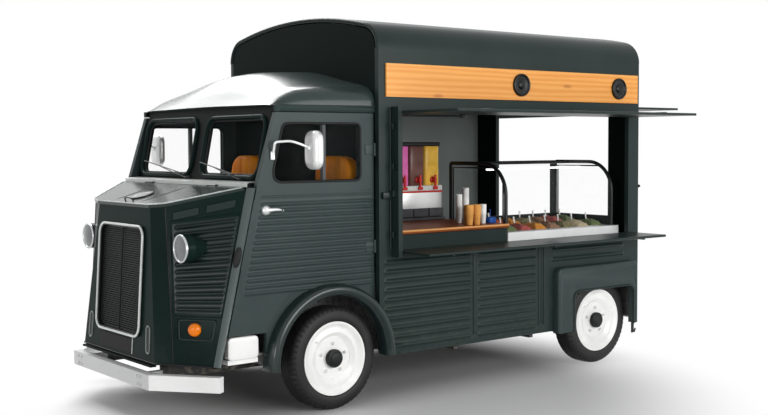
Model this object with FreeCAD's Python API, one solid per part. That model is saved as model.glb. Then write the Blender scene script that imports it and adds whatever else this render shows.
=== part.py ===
"""Food truck on a ribbed front-engined van: one STEP file per sub-part, in millimetres.

+X is forward, +Y is the van's left, +Z is up. Every size below is measured from the front axle's
middle on the ground. The finished parts are moved together at the end, so that the origin is at
the bottom centre of the whole object's box.
"""
import FreeCAD, Part
import math
import os

V = FreeCAD.Vector
FIT = 0.3                    # gap left between a piece and what it seats on, on another body
RUN = 5.0                    # least gap between a moving piece and its neighbours

# Overall
WHEELBASE = 2700.0
TYRE_R = 360.0
BOX_HALF = 1000.0            # outer face of the kitchen's side walls
CROWN_Z = 2787.0             # top of the kitchen roof
BOX_FRONT = -350.0
BOX_REAR = -WHEELBASE - TYRE_R - 90.0     # outer face of the rear wall
CAB_HALF = BOX_HALF - 45.0   # outer face of the cab doors

# Wheels and axles
TYRE_WIDTH = 190.0
TRACK_HALF = BOX_HALF - 140.0     # wheel centre plane to the centreline
RIM_R = 257.0
BARREL_R = 228.0
HUB_R = 56.0
STUB_R = 22.0
KINGPIN_Y = TRACK_HALF - 60.0
KINGPIN_R = 12.0
KNUCKLE_H = 92.0             # height of the knuckle's boss, between the beam's fork plates
FORK_T = 16.0
AXLE_BEAM_Z = (224.0, 272.0)
REAR_TUBE_Z = 232.0
REAR_TUBE_R = 34.0

# Wheel arches
STEER_CLEAR_R = TYRE_R + 90.0     # inside radius of the front wheel arch
ARCH_X = 40.0                # the arch's centre, ahead of the axle
FENDER_OUT_R = STEER_CLEAR_R + 70.0
FENDER_Y = (CAB_HALF - 50.0, BOX_HALF + 10.0)
WHEEL_BOX_X = (BOX_FRONT - 102.0, 520.0)
WHEEL_BOX_IN = 500.0
WHEEL_BOX_TOP = 2 * TYRE_R + 140.0
REAR_ARCH_IN = TRACK_HALF - 130.0     # inside of the rear wheel box, from the centreline
REAR_ARCH_HALF = TYRE_R + 20.0
REAR_ARCH_Z = 2 * TYRE_R + 50.0

# Frame
RAIL_Y = 430.0
RAIL_T = 50.0
RAIL_Z = (272.0, 362.0)
CROSS_X = (820.0, 330.0, -330.0, -1100.0, -1900.0, BOX_REAR + 60.0)

# Kitchen box
WALL = 40.0
SKIRT_Z = 335.0
FLOOR_Z = (RAIL_Z[1], RAIL_Z[1] + WALL)
EAVES_Z = CROWN_Z - 277.0
ROOF_CORNER_R = 190.0
ROOF_CORNER_TURN = 77.9      # degrees that the roof's corner arc turns
ROOF_T = 30.0

# Serving opening in the left wall
OPEN_FRONT = -505.0
OPEN_REAR = BOX_REAR + 130.0
SILL_Z = 1080.0
LINTEL_Z = 2055.0
FLAP_DEPTH = 625.0
SHELF_DEPTH = 335.0
FLAP_T = 18.0
JAMB_OUT = 80.0
JAMB_X = (-461.0, -499.0)

# Hinges of the flaps
HINGE_R = 9.8
PIVOT_OUT = 15.0             # pivot line to the wall's outer face
PAD_T = PIVOT_OUT - HINGE_R - FIT
PAD_HALF = 6.0

# Sign board
BOARD_X = (BOX_FRONT - 60.0, BOX_REAR + 32.0)
BOARD_Z = (2170.0, 2404.0)
BOARD_T = 14.0
SPEAKER_X = (-1731.0, BOX_REAR + 280.0)
SPEAKER_R = 88.0
SPEAKER_T = 26.0

# Rear opening
REAR_OPEN_HALF = BOX_HALF - 300.0
REAR_HATCH_HALF = BOX_HALF - 80.0
REAR_SILL_Z = SILL_Z
REAR_LINTEL_Z = 2080.0
HATCH_DEPTH = 620.0
REAR_SHELF_DEPTH = 425.0

# Staff door in the right wall
STAFF_X = (-1400.0, -2040.0)
STAFF_Z = (420.0, 2020.0)
STAFF_T = 32.0

# Cab
DOOR_T = 42.0
DOOR_REAR = BOX_FRONT + 12.0
DOOR_TOP = 2052.0
DOOR_LOW_REAR = TYRE_R + FENDER_OUT_R + 52.0
DOOR_LOW_FRONT = 600.0
DOOR_ARC_R = FENDER_OUT_R + 55.0
DOOR_PIVOT_Y = CAB_HALF + 7.0
SCREEN_TOP = (451.0, 2098.0)      # x, z of the windscreen frame's top edge
SCREEN_FOOT = (557.0, 1581.0)
SCREEN_HALF = (CAB_HALF - 70.0, CAB_HALF - 50.0)     # half width at the top and at the foot
SCREEN_T = 36.0
CAB_ROOF_T = 22.0
POST_TOP = (470.0, DOOR_TOP)      # x, z on the door's front edge
POST_WAIST = (620.0, 1570.0)
POST_FOOT = (850.0, 600.0)
NOSE_REAR_TOP = (672.0, CAB_HALF - 58.0)     # x, y of the nose's rear edge at the bonnet
NOSE_REAR_LOW = (938.0, CAB_HALF - 50.0)     # and at its foot
COWL_Z = (1541.5, 1584.0)
COWL_FRONT_X = 660.0

# Nose
NOSE_TOP_X = 1107.0
NOSE_TOP_Z = 1425.0
NOSE_HOOD_RISE = 0.267       # rise of the bonnet for each millimetre rearwards
NOSE_TOP_HALF = 395.0
NOSE_LOW_X = 1172.0
NOSE_LOW_Z = FLOOR_Z[1] - 2.0
NOSE_LOW_HALF = 555.0
SEAM_TOP = (1070.0, 540.0)   # x, y of the nose corner seam
SEAM_LOW = (1085.0, 655.0)
NOSE_T = 24.0
GRILLE_HALF = 340.0
GRILLE_Z = (548.0, 1298.0)
HEADLAMP_R = 92.0
TUNNEL_REAR = 300.0
TUNNEL_HALF = 330.0
TUNNEL_TOP = 1130.0
HOOD_HINGE = (681.0, 1563.0)      # x, z of the bonnet's pivot line
HOOD_BARREL_R = 6.5
HOOD_BARREL_LEN = 110.0
HOOD_BARREL_Y = (-520.0, 410.0)   # where each barrel starts


def box(x, y, z):
    """Box between the pairs x, y and z, in any order."""
    lo = V(min(x), min(y), min(z))
    return Part.makeBox(abs(x[1] - x[0]), abs(y[1] - y[0]), abs(z[1] - z[0]), lo)


def cyl(r, length, at, axis):
    """Solid cylinder of radius r that starts at a point and runs along axis."""
    return Part.makeCylinder(r, length, V(*at), V(*axis))


def tube(r_out, r_in, length, at, axis):
    """Straight tube."""
    return cyl(r_out, length, at, axis).cut(cyl(r_in, length, at, axis))


def fuse(shapes):
    """One shape from several that touch or overlap."""
    first = shapes[0]
    return first.fuse(shapes[1:]).removeSplitter() if len(shapes) > 1 else first


def bunch(shapes):
    """Several solids that do not touch, kept as one compound."""
    return Part.makeCompound(shapes)


def mirror(shape):
    """The same piece on the other side of the centreline."""
    return shape.mirror(V(0, 0, 0), V(0, 1, 0))


def polygon(points):
    """Closed flat wire through points."""
    return Part.makePolygon([V(*p) for p in points] + [V(*points[0])])


def slab_xz(points, y):
    """Prism of an outline given as (x, z), between two values of y."""
    face = Part.Face(polygon([(p[0], min(y), p[1]) for p in points]))
    return face.extrude(V(0, abs(y[1] - y[0]), 0))


def rounded(shape, radius, along):
    """Fillets the edges that run along one axis."""
    picked = []
    for edge in shape.Edges:
        a, b = edge.Vertexes[0].Point, edge.Vertexes[-1].Point
        run = b.sub(a)
        if run.Length > 1 and abs(run.normalize().dot(V(*along))) > 0.999:
            picked.append(edge)
    return shape.makeFillet(radius, picked)


def loft(wires):
    """Ruled solid through closed wires."""
    solid = Part.makeLoft(wires, True, True)
    return solid if solid.Volume > 0 else solid.reversed()


# ---------------------------------------------------------------- wheels, axles and chassis

def wheel(x, side):
    """Pressed wheel with its hub and cap; the disc is dished outwards."""
    half = TYRE_WIDTH / 2
    # (radius, offset from the wheel's centre plane, outwards positive)
    outline = [
        (STUB_R + 0.08, -8), (HUB_R, -8), (HUB_R, 44), (150, 44), (176, 66), (206, 60),
        (BARREL_R - 12, 46), (BARREL_R - 12, -half + 20), (RIM_R - 14, -half + 8),
        (RIM_R, -half + 8), (RIM_R, -half + 15), (BARREL_R, -half + 24), (BARREL_R, half - 24),
        (RIM_R, half - 15), (RIM_R, half - 8), (RIM_R - 14, half - 8), (216, 70), (180, 76),
        (146, 56), (HUB_R + 4, 56), (HUB_R + 4, 84), (HUB_R - 10, 90), (0, 90), (0, 62),
        (STUB_R + 0.08, 62)]
    face = Part.Face(polygon([(r, side * d, 0) for r, d in outline]))
    solid = face.revolve(V(0, 0, 0), V(0, 1, 0), 360)
    solid.translate(V(x, side * TRACK_HALF, TYRE_R))
    return solid


def tyre(x, side):
    """Plain tyre seated on the rim's barrel, between its flanges."""
    half = TYRE_WIDTH / 2
    bead = half - 25
    wall_r = RIM_R + 2
    low = [(BARREL_R + FIT, -bead), (BARREL_R + FIT, bead), (wall_r, half - 16), (wall_r, half - 7)]
    edges = [Part.makeLine(V(*a, 0), V(*b, 0)) for a, b in zip(low, low[1:])]
    shoulder = TYRE_R - 26
    edges.append(Part.Arc(V(wall_r, half - 7, 0), V(300, half, 0), V(shoulder, half - 9, 0)).toShape())
    edges.append(Part.Arc(V(shoulder, half - 9, 0), V(TYRE_R - 7, half - 20, 0),
                          V(TYRE_R, half - 42, 0)).toShape())
    edges.append(Part.makeLine(V(TYRE_R, half - 42, 0), V(TYRE_R, 42 - half, 0)))
    edges.append(Part.Arc(V(TYRE_R, 42 - half, 0), V(TYRE_R - 7, 20 - half, 0),
                          V(shoulder, 9 - half, 0)).toShape())
    edges.append(Part.Arc(V(shoulder, 9 - half, 0), V(300, -half, 0), V(wall_r, 7 - half, 0)).toShape())
    tail = [(wall_r, 7 - half), (wall_r, 16 - half), (BARREL_R + FIT, -bead)]
    edges += [Part.makeLine(V(*a, 0), V(*b, 0)) for a, b in zip(tail, tail[1:])]
    solid = Part.Face(Part.Wire(edges)).revolve(V(0, 0, 0), V(0, 1, 0), 360)
    solid.translate(V(x, side * TRACK_HALF, TYRE_R))
    return solid


def stub_axle(x, side, root_y):
    """Round stub that the hub turns on, from root_y outwards."""
    end_y = TRACK_HALF + 60
    return cyl(STUB_R, end_y - root_y, (x, side * root_y, TYRE_R), (0, side, 0))


def knuckle(side):
    """Steering knuckle: boss, kingpin, stub axle and a steering arm to the rear."""
    y = side * KINGPIN_Y
    boss = cyl(30, KNUCKLE_H, (0, y, TYRE_R - KNUCKLE_H / 2), (0, 0, 1))
    pin_len = KNUCKLE_H + 2 * FORK_T + 16
    pin = cyl(KINGPIN_R, pin_len, (0, y, TYRE_R - pin_len / 2), (0, 0, 1))
    arm = box((-150, 0), (y - 13, y + 13), (TYRE_R - 34, TYRE_R - 16))
    return fuse([boss, pin, stub_axle(0, side, KINGPIN_Y), arm])


def front_axle():
    """Beam between the kingpins, forked at each end, hung from the chassis rails."""
    reach = KINGPIN_Y - 44
    parts = [box((-35, 35), (-reach, reach), AXLE_BEAM_Z)]
    for side in (1, -1):
        y = side * KINGPIN_Y
        gap = KNUCKLE_H / 2 + 0.5
        post_y = (side * (reach - 30), side * reach)
        post = box((-28, 28), post_y, (AXLE_BEAM_Z[0], TYRE_R + gap + FORK_T))
        parts.append(post)
        for z in (TYRE_R - gap - FORK_T, TYRE_R + gap):
            parts.append(box((-28, 28), (side * (reach - 20), y), (z, z + FORK_T)))
            parts.append(cyl(28, FORK_T, (0, y, z), (0, 0, 1)))
    beam = fuse(parts)
    for side in (1, -1):
        beam = beam.cut(cyl(KINGPIN_R + 0.1, 220, (0, side * KINGPIN_Y, TYRE_R - 110), (0, 0, 1)))
    return beam


def chassis_frame():
    """Two rails and six crossmembers under the floor, with outriggers to the skirts."""
    parts = []
    for side in (1, -1):
        y = (side * (RAIL_Y - RAIL_T / 2), side * (RAIL_Y + RAIL_T / 2))
        parts.append(box((1060, BOX_REAR + WALL), y, RAIL_Z))
    for x in CROSS_X:
        parts.append(box((x - 30, x + 30), (-RAIL_Y, RAIL_Y), (RAIL_Z[0] + 10, RAIL_Z[1])))
    for x in CROSS_X[3:5]:
        reach = BOX_HALF - WALL
        parts.append(box((x - 20, x + 20), (-reach, reach), (RAIL_Z[0] + 30, RAIL_Z[1])))
    return fuse(parts)


def rear_axle():
    """Dropped tube under the rails, cranked up to the stub axles, with pads to the rails."""
    x = -WHEELBASE
    crank_y = REAR_ARCH_IN + 28
    parts = [cyl(REAR_TUBE_R, 2 * crank_y, (x, -crank_y, REAR_TUBE_Z), (0, 1, 0))]
    for side in (1, -1):
        y = side * crank_y
        parts.append(box((x - 34, x + 34), (y - side * 22, y), (REAR_TUBE_Z, TYRE_R + 40)))
        parts.append(stub_axle(x, side, crank_y))
        pad_y = (side * (RAIL_Y - 30), side * (RAIL_Y + 30))
        parts.append(box((x - 60, x + 60), pad_y, (REAR_TUBE_Z + 20, RAIL_Z[0])))
    return fuse(parts)


# ---------------------------------------------------------------- kitchen box

def roof_section(offset, drop_to):
    """Roof outline across the box, set inwards by offset, closed down to the height drop_to."""
    r = ROOF_CORNER_R - offset
    turn = math.radians(ROOF_CORNER_TURN)
    cy, cz = BOX_HALF - ROOF_CORNER_R, EAVES_Z
    half = BOX_HALF - offset
    mid = (cy + r * math.cos(turn / 2), cz + r * math.sin(turn / 2))
    top = (cy + r * math.cos(turn), cz + r * math.sin(turn))
    crest = CROWN_Z - offset
    arcs = [
        Part.Arc(V(0, half, cz), V(0, *mid), V(0, *top)).toShape(),
        Part.Arc(V(0, *top), V(0, 0, crest), V(0, -top[0], top[1])).toShape(),
        Part.Arc(V(0, -top[0], top[1]), V(0, -mid[0], mid[1]), V(0, -half, cz)).toShape()]
    if drop_to < cz:
        corners = [(-half, cz), (-half, drop_to), (half, drop_to), (half, cz)]
    else:
        corners = [(-half, cz), (half, cz)]
    lines = [Part.makeLine(V(0, *a), V(0, *b)) for a, b in zip(corners, corners[1:])]
    return Part.Wire(arcs + lines)


def box_roof():
    """Crowned roof skin from wall to wall, the full length of the box."""
    outer = Part.Face(roof_section(0, EAVES_Z))
    inner = Part.Face(roof_section(ROOF_T, EAVES_Z))
    length = BOX_FRONT - BOX_REAR
    shell = outer.extrude(V(length, 0, 0)).cut(inner.extrude(V(length, 0, 0)))
    shell.translate(V(BOX_REAR, 0, 0))
    return shell


def rear_arch_cut(side):
    """The space for the rear wheel in the side wall and floor."""
    x = -WHEELBASE
    y = (side * REAR_ARCH_IN, side * (BOX_HALF + 100))
    return box((x - REAR_ARCH_HALF, x + REAR_ARCH_HALF), y, (0, REAR_ARCH_Z))


def front_arch_cut(side):
    """Room for the front wheel box in the kitchen's floor and front wall."""
    y = (side * (WHEEL_BOX_IN - FIT), side * (BOX_HALF + 100))
    return box((WHEEL_BOX_X[0] - FIT, 0), y, (0, WHEEL_BOX_TOP + FIT))


def fender_cut(side):
    """Round cut in the side wall for the rear leg of the front fender."""
    start = (ARCH_X, side * (BOX_HALF - 2 * WALL), TYRE_R)
    return cyl(FENDER_OUT_R + FIT, 200, start, (0, side, 0)).fuse(
        box((ARCH_X - FENDER_OUT_R - FIT, ARCH_X), (start[1] - side * 60, side * (BOX_HALF + 60)),
            (0, FLOOR_Z[1] + FIT)))


def side_wall(side):
    """Side wall from the skirt to the eaves, open over the rear wheel."""
    y = (side * (BOX_HALF - WALL), side * BOX_HALF)
    wall = box((BOX_FRONT, BOX_REAR), y, (SKIRT_Z, EAVES_Z))
    wall = wall.cut(rear_arch_cut(side)).cut(fender_cut(side))
    if side > 0:
        hole = box((OPEN_FRONT, OPEN_REAR), (BOX_HALF - 2 * WALL, BOX_HALF + WALL), (SILL_Z, LINTEL_Z))
        pads = [box(FLAP_X, (BOX_HALF, BOX_HALF + PAD_T), (hinge[1] - PAD_HALF, hinge[1] + PAD_HALF))
                for hinge in (FLAP_HINGE, SHELF_HINGE)]
        return fuse([wall.cut(hole)] + pads)
    hole = box(STAFF_X, (-BOX_HALF - WALL, -BOX_HALF + 2 * WALL), STAFF_Z)
    return wall.cut(hole)


def end_wall(x_out, x_in, low_z):
    """Wall that closes the box's front or rear, inside its sides and roof."""
    face = Part.Face(roof_section(WALL, low_z))
    if x_in < x_out:
        x_out, x_in = x_in, x_out
    solid = face.extrude(V(x_in - x_out, 0, 0))
    solid.translate(V(x_out, 0, 0))
    return solid


def front_wall():
    """Closed wall between cab and kitchen, carried up to the raised roof."""
    wall = end_wall(BOX_FRONT, BOX_FRONT - WALL, FLOOR_Z[1])
    return wall.cut(front_arch_cut(1)).cut(front_arch_cut(-1))


def rear_wall():
    """Rear wall with the rear serving opening."""
    wall = end_wall(BOX_REAR, BOX_REAR + WALL, FLOOR_Z[1])
    hole = box((BOX_REAR - 10, BOX_REAR + WALL + 10), (-REAR_OPEN_HALF, REAR_OPEN_HALF),
               (REAR_SILL_Z, REAR_LINTEL_Z))
    y = (-REAR_HATCH_HALF, REAR_HATCH_HALF)
    pads = [box((BOX_REAR, BOX_REAR - PAD_T), y, (hinge[1] - PAD_HALF, hinge[1] + PAD_HALF))
            for hinge in (HATCH_HINGE, REAR_SHELF_HINGE)]
    return fuse([wall.cut(hole)] + pads)


def box_floor():
    """Kitchen floor, cut round the rear wheels, with a box over each wheel."""
    inner = BOX_HALF - WALL
    floor = box((BOX_FRONT, BOX_REAR), (-inner, inner), FLOOR_Z)
    t = 20.0
    for side in (1, -1):
        floor = floor.cut(rear_arch_cut(side)).cut(front_arch_cut(side)).cut(fender_cut(side))
        x = -WHEELBASE
        half = REAR_ARCH_HALF + t
        y = (side * (REAR_ARCH_IN - t), side * inner)
        outer = box((x - half, x + half), y, (FLOOR_Z[0], REAR_ARCH_Z + t))
        floor = floor.fuse(outer.cut(rear_arch_cut(side)))
    return floor.removeSplitter()


REAR_FENDER_X = (-WHEELBASE + 590.0, -WHEELBASE - 385.0)
REAR_FENDER_Z = (318.0, 845.0)
REAR_FENDER_OUT = 62.0


def rear_fender(side):
    """Square-shouldered fender over the rear wheel, standing out from the wall."""
    out = BOX_HALF + REAR_FENDER_OUT
    front, rear = REAR_FENDER_X
    top = REAR_FENDER_Z[1]
    body = box((front, rear), (side * BOX_HALF, side * out), REAR_FENDER_Z)
    outer_edges = [e for e in body.Edges if abs(e.CenterOfMass.y - side * out) < 1]
    eased = [e for e in outer_edges if abs(e.CenterOfMass.z - top) < 1 or abs(e.CenterOfMass.x - front) < 1]
    body = body.makeFillet(38, eased)
    opening = box((-WHEELBASE - 330, -WHEELBASE + 410), (side * (BOX_HALF - 10), side * (out + 10)), (0, 645))
    opening = rounded(opening, 70, (0, 1, 0))
    return body.cut(opening)


def sign_board(side):
    """Varnished board along the cornice."""
    return box(BOARD_X, (side * BOX_HALF, side * (BOX_HALF + BOARD_T)), BOARD_Z)


def speaker(x, side):
    """Round loudspeaker on the sign board."""
    z = (BOARD_Z[0] + BOARD_Z[1]) / 2
    y = side * (BOX_HALF + BOARD_T)
    body = cyl(SPEAKER_R, SPEAKER_T, (x, y, z), (0, side, 0))
    return body.makeFillet(8, [e for e in body.Edges if abs(e.CenterOfMass.y - y - side * SPEAKER_T) < 1])


def serving_jamb():
    """Upright guard rail ahead of the serving opening, with its catch."""
    rail = box(JAMB_X, (BOX_HALF, BOX_HALF + JAMB_OUT), (SILL_Z - 40, LINTEL_Z + 45))
    catch = box((JAMB_X[0] + 22, JAMB_X[0]), (BOX_HALF, BOX_HALF + 46), (1470, 1510))
    return fuse([rail, catch])


def knuckle_bar(start, length, axis):
    """Hinge barrel along one edge of a panel."""
    return cyl(HINGE_R, length, start, axis)


FLAP_X = (OPEN_FRONT - 4, OPEN_REAR - 60)
FLAP_HINGE = (BOX_HALF + PIVOT_OUT, LINTEL_Z + 8.0)       # y, z of the pivot line
SHELF_HINGE = (BOX_HALF + PIVOT_OUT, SILL_Z - 8.0)


def serving_flap():
    """Upper flap, held level; its hinge barrel runs along the lintel."""
    y, z = FLAP_HINGE
    panel = box(FLAP_X, (y, y + FLAP_DEPTH), (z - FLAP_T / 2, z + FLAP_T / 2))
    return fuse([panel, knuckle_bar((FLAP_X[1], y, z), FLAP_X[0] - FLAP_X[1], (1, 0, 0))])


def serving_shelf():
    """Lower flap that folds out as the customers' shelf."""
    y, z = SHELF_HINGE
    panel = box(FLAP_X, (y, y + SHELF_DEPTH), (z - FLAP_T / 2, z + FLAP_T / 2))
    return fuse([panel, knuckle_bar((FLAP_X[1], y, z), FLAP_X[0] - FLAP_X[1], (1, 0, 0))])


HATCH_HINGE = (BOX_REAR - PIVOT_OUT, REAR_LINTEL_Z + 56.0)      # x, z
REAR_SHELF_HINGE = (BOX_REAR - PIVOT_OUT, REAR_LINTEL_Z + 56.0 - HATCH_DEPTH - REAR_SHELF_DEPTH - 10.0)


def rear_hatch():
    """Rear hatch, raised level behind the box."""
    x, z = HATCH_HINGE
    y = (-REAR_HATCH_HALF, REAR_HATCH_HALF)
    panel = box((x, x - HATCH_DEPTH), y, (z - FLAP_T / 2, z + FLAP_T / 2))
    return fuse([panel, knuckle_bar((x, y[0], z), 2 * REAR_HATCH_HALF, (0, 1, 0))])


def rear_shelf():
    """Rear shelf, folded down flat against the rear wall."""
    x, z = REAR_SHELF_HINGE
    y = (-REAR_HATCH_HALF, REAR_HATCH_HALF)
    panel = box((x - FLAP_T / 2, x + FLAP_T / 2), y, (z, z - REAR_SHELF_DEPTH))
    return fuse([panel, knuckle_bar((x, y[0], z), 2 * REAR_HATCH_HALF, (0, 1, 0))])


def staff_door():
    """Plain door in the right wall, hinged at its front edge."""
    gap = RUN
    x = (STAFF_X[0] - gap, STAFF_X[1] + gap)
    z = (STAFF_Z[0] + gap, STAFF_Z[1] - gap)
    panel = box(x, (-BOX_HALF, -BOX_HALF + STAFF_T), z)
    handle = box((x[1] + 60, x[1] + 180), (-BOX_HALF - 30, -BOX_HALF), (1040, 1066))
    hinge = knuckle_bar((STAFF_X[0] - gap, -BOX_HALF - HINGE_R + FIT, z[0]), z[1] - z[0], (0, 0, 1))
    return fuse([panel, handle, hinge])


# ---------------------------------------------------------------- kitchen fittings

COUNTER_X = (-600.0, -1690.0)
COUNTER_Y = (-350.0, BOX_HALF - 70.0)
COUNTER_TOP_Z = 1214.0
COUNTER_TOP_T = 30.0
CASE_X = (-1702.0, BOX_REAR + 140.0)
CASE_Y = (170.0, BOX_HALF - 95.0)
CASE_LOW_Z = 1040.0
CASE_RIM_Z = 1140.0
CASE_TOP_Z = 1690.0
ARCH_R = 250.0
HOOP_Y = (CASE_Y[0] + 20.0, CASE_Y[1] - 45.0)


PANEL_T = 18.0


def cupboard(x, y, z, shelf_z):
    """Cabinet of panels, open towards the staff on its right side, with one shelf."""
    outer = box(x, y, z)
    t = PANEL_T
    x_in = (max(x) - t, min(x) + t)
    low = box(x_in, (min(y) - 1, max(y) - t), (z[0] + t, shelf_z))
    high = box(x_in, (min(y) - 1, max(y) - t), (shelf_z + t, z[1] - t))
    return outer.cut(low).cut(high)


def counter():
    """Cabinet under the wooden worktop, standing on the floor."""
    y = (COUNTER_Y[0] + 20, COUNTER_Y[1] - 30)
    return cupboard(COUNTER_X, y, (FLOOR_Z[1], COUNTER_TOP_Z - COUNTER_TOP_T), 760.0)


def counter_top():
    """Wooden worktop with an eased front edge."""
    top = box((BOX_FRONT - WALL - 1, COUNTER_X[1]), COUNTER_Y, (COUNTER_TOP_Z - COUNTER_TOP_T, COUNTER_TOP_Z))
    front = [e for e in top.Edges if abs(e.CenterOfMass.y - COUNTER_Y[1]) < 1 and e.Length > 500]
    return top.makeFillet(8, front)


def display_base():
    """Stainless well of the display case on its cabinet, open at the top."""
    body = box(CASE_X, (CASE_Y[0], CASE_Y[1]), (CASE_LOW_Z, CASE_RIM_Z))
    well_x = (CASE_X[0] - 50, CASE_X[1] + 50)
    well = box(well_x, (CASE_Y[0] + 60, CASE_Y[1] - 70), (CASE_LOW_Z + 15, CASE_RIM_Z + 5))
    well = rounded(well, 30, (0, 0, 1))
    return body.cut(well)


def display_cabinet():
    """Cabinet under the display case, stepped over the wheel box."""
    y = (CASE_Y[0] + 10, CASE_Y[1] + 15)
    arch_end = -WHEELBASE + REAR_ARCH_HALF + 40
    tall = cupboard((CASE_X[0], arch_end), y, (FLOOR_Z[1], CASE_LOW_Z), 720.0)
    ledge = REAR_ARCH_Z + 20
    short = cupboard((arch_end, CASE_X[1]), y, (ledge, CASE_LOW_Z), 900.0)
    return fuse([tall, short])


BAR = 18.0


def hoop(x):
    """Flat hoop across the case: up at the back, level, and curved down to the front."""
    ring = hoop_face(x, 0).cut(hoop_face(x, BAR))
    return ring.extrude(V(BAR, 0, 0))


def hoop_face(x, inset):
    """Area under the hoop's line, set inwards by inset; its foot stays on the rim."""
    y0, y1 = HOOP_Y[0] + inset, HOOP_Y[1] - inset
    z0, z1 = CASE_RIM_Z, CASE_TOP_Z - inset
    r = ARCH_R - inset
    a = r * (1 - math.sqrt(0.5))
    wire = Part.Wire([
        Part.makeLine(V(x, y0, z0), V(x, y0, z1)),
        Part.makeLine(V(x, y0, z1), V(x, y1 - r, z1)),
        Part.Arc(V(x, y1 - r, z1), V(x, y1 - a, z1 - a), V(x, y1, z1 - r)).toShape(),
        Part.makeLine(V(x, y1, z1 - r), V(x, y1, z0)),
        Part.makeLine(V(x, y1, z0), V(x, y0, z0))])
    return Part.Face(wire)


def display_frame():
    """Black hoops at the case's ends, joined by rails, with posts at the back."""
    x = (CASE_X[0] - 20, CASE_X[1] + 20)
    back = (HOOP_Y[0], HOOP_Y[0] + BAR)
    parts = [hoop(x[0] - BAR), hoop(x[1])]
    middle = (x[0] + x[1]) / 2
    parts.append(box((middle - BAR / 2, middle + BAR / 2), back, (CASE_RIM_Z, CASE_TOP_Z)))
    under = CASE_TOP_Z - BAR
    for z in (under, CASE_RIM_Z + 60):
        parts.append(box(x, back, (z, z + BAR)))
    bend_y = HOOP_Y[1] - ARCH_R
    parts.append(box(x, (bend_y - BAR, bend_y), (under, CASE_TOP_Z)))
    lamp_y = bend_y - BAR / 2
    parts.append(box(x, (lamp_y - 12, lamp_y + 12), (under - 34, under)))
    return fuse(parts)


GLASS_T = 6.0


def display_glass():
    """Curved front pane between the hoops."""
    x0 = CASE_X[1] + 20 + BAR + FIT
    length = (CASE_X[0] - 20 - BAR - FIT) - x0
    grown = hoop_face(x0, 2).extrude(V(length, 0, 0))
    shrunk = hoop_face(x0, 2 + GLASS_T).extrude(V(length, 0, 0))
    keep = box(CASE_X, (HOOP_Y[1] - ARCH_R + FIT, CASE_Y[1]), (CASE_RIM_Z + FIT, CASE_TOP_Z))
    return grown.cut(shrunk).common(keep)


DRINKS_X = (-1170.0, -1680.0)
DRINKS_Y = (-230.0, 190.0)
DRINKS_BASE = 40.0
DRINKS_BODY = 280.0
DRINKS_TANKS = 605.0
DRINKS_LID = 640.0


def drinks_machine():
    """Drinks dispenser on the worktop: body with drawers, three tanks and a lid."""
    z = COUNTER_TOP_Z
    base = box(DRINKS_X, DRINKS_Y, (z, z + DRINKS_BASE))
    body_x = (DRINKS_X[0] - 12, DRINKS_X[1] + 12)
    body = box(body_x, (DRINKS_Y[0], DRINKS_Y[1] - 30), (z + DRINKS_BASE, z + DRINKS_BODY))
    parts = [base, body]
    step = (DRINKS_X[0] - DRINKS_X[1] - 24) / 3
    for i in range(3):
        x = DRINKS_X[1] + 12 + step * i
        tank_y = (DRINKS_Y[0] + 40, DRINKS_Y[1] - 60)
        parts.append(box((x + 4, x + step - 4), tank_y, (z + DRINKS_BODY, z + DRINKS_TANKS)))
    lid_x = (DRINKS_X[0] - 14, DRINKS_X[1] + 14)
    lid_y = (DRINKS_Y[0] + 30, DRINKS_Y[1] - 55)
    parts.append(box(lid_x, lid_y, (z + DRINKS_TANKS, z + DRINKS_LID)))
    return fuse(parts)


# ---------------------------------------------------------------- cab

def line_at(a, b, z):
    """x on the line through two (x, z) points, at the height z."""
    return a[0] + (b[0] - a[0]) * (z - a[1]) / (b[1] - a[1])


def post_x(z):
    """x of the door's front edge at the height z."""
    if z > POST_WAIST[1]:
        return line_at(POST_TOP, POST_WAIST, z)
    return line_at(POST_WAIST, POST_FOOT, z)


def screen_x(z):
    """x of the windscreen frame's outer face at the height z."""
    return line_at(SCREEN_TOP, SCREEN_FOOT, z)


def screen_frame():
    """Flat frame of the two-pane windscreen, with a centre pillar."""
    (xt, zt), (xf, zf) = SCREEN_TOP, SCREEN_FOOT
    top = [V(xt, -SCREEN_HALF[0], zt), V(xt, SCREEN_HALF[0], zt)]
    foot = [V(xf, SCREEN_HALF[1], zf), V(xf, -SCREEN_HALF[1], zf)]
    face = Part.Face(Part.makePolygon(top + foot + [top[0]]))
    plate = face.extrude(V(-SCREEN_T, 0, 0))
    for side in (1, -1):
        plate = plate.cut(pane_prism(side, 0))
    return plate


PANE_Y = (88.0, 835.0)
PANE_Z = (1636.0, 2012.0)
PANE_R = 55.0


def pane_prism(side, inset):
    """Prism through the windscreen frame for one pane, smaller by inset."""
    prism = box((300, 700), (side * (PANE_Y[0] + inset), side * (PANE_Y[1] - inset)),
                (PANE_Z[0] + inset, PANE_Z[1] - inset))
    return rounded(prism, PANE_R - inset, (1, 0, 0))


def windscreen():
    """Two flat panes in the frame."""
    (xt, zt), (xf, zf) = SCREEN_TOP, SCREEN_FOOT
    panes = []
    for side in (1, -1):
        sheet = Part.Face(polygon([(xt - 15, -SCREEN_HALF[1], zt), (xt - 15, SCREEN_HALF[1], zt),
                                   (xf - 15, SCREEN_HALF[1], zf), (xf - 15, -SCREEN_HALF[1], zf)]))
        panes.append(sheet.extrude(V(-GLASS_T, 0, 0)).common(pane_prism(side, FIT)))
    return bunch(panes)


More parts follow.
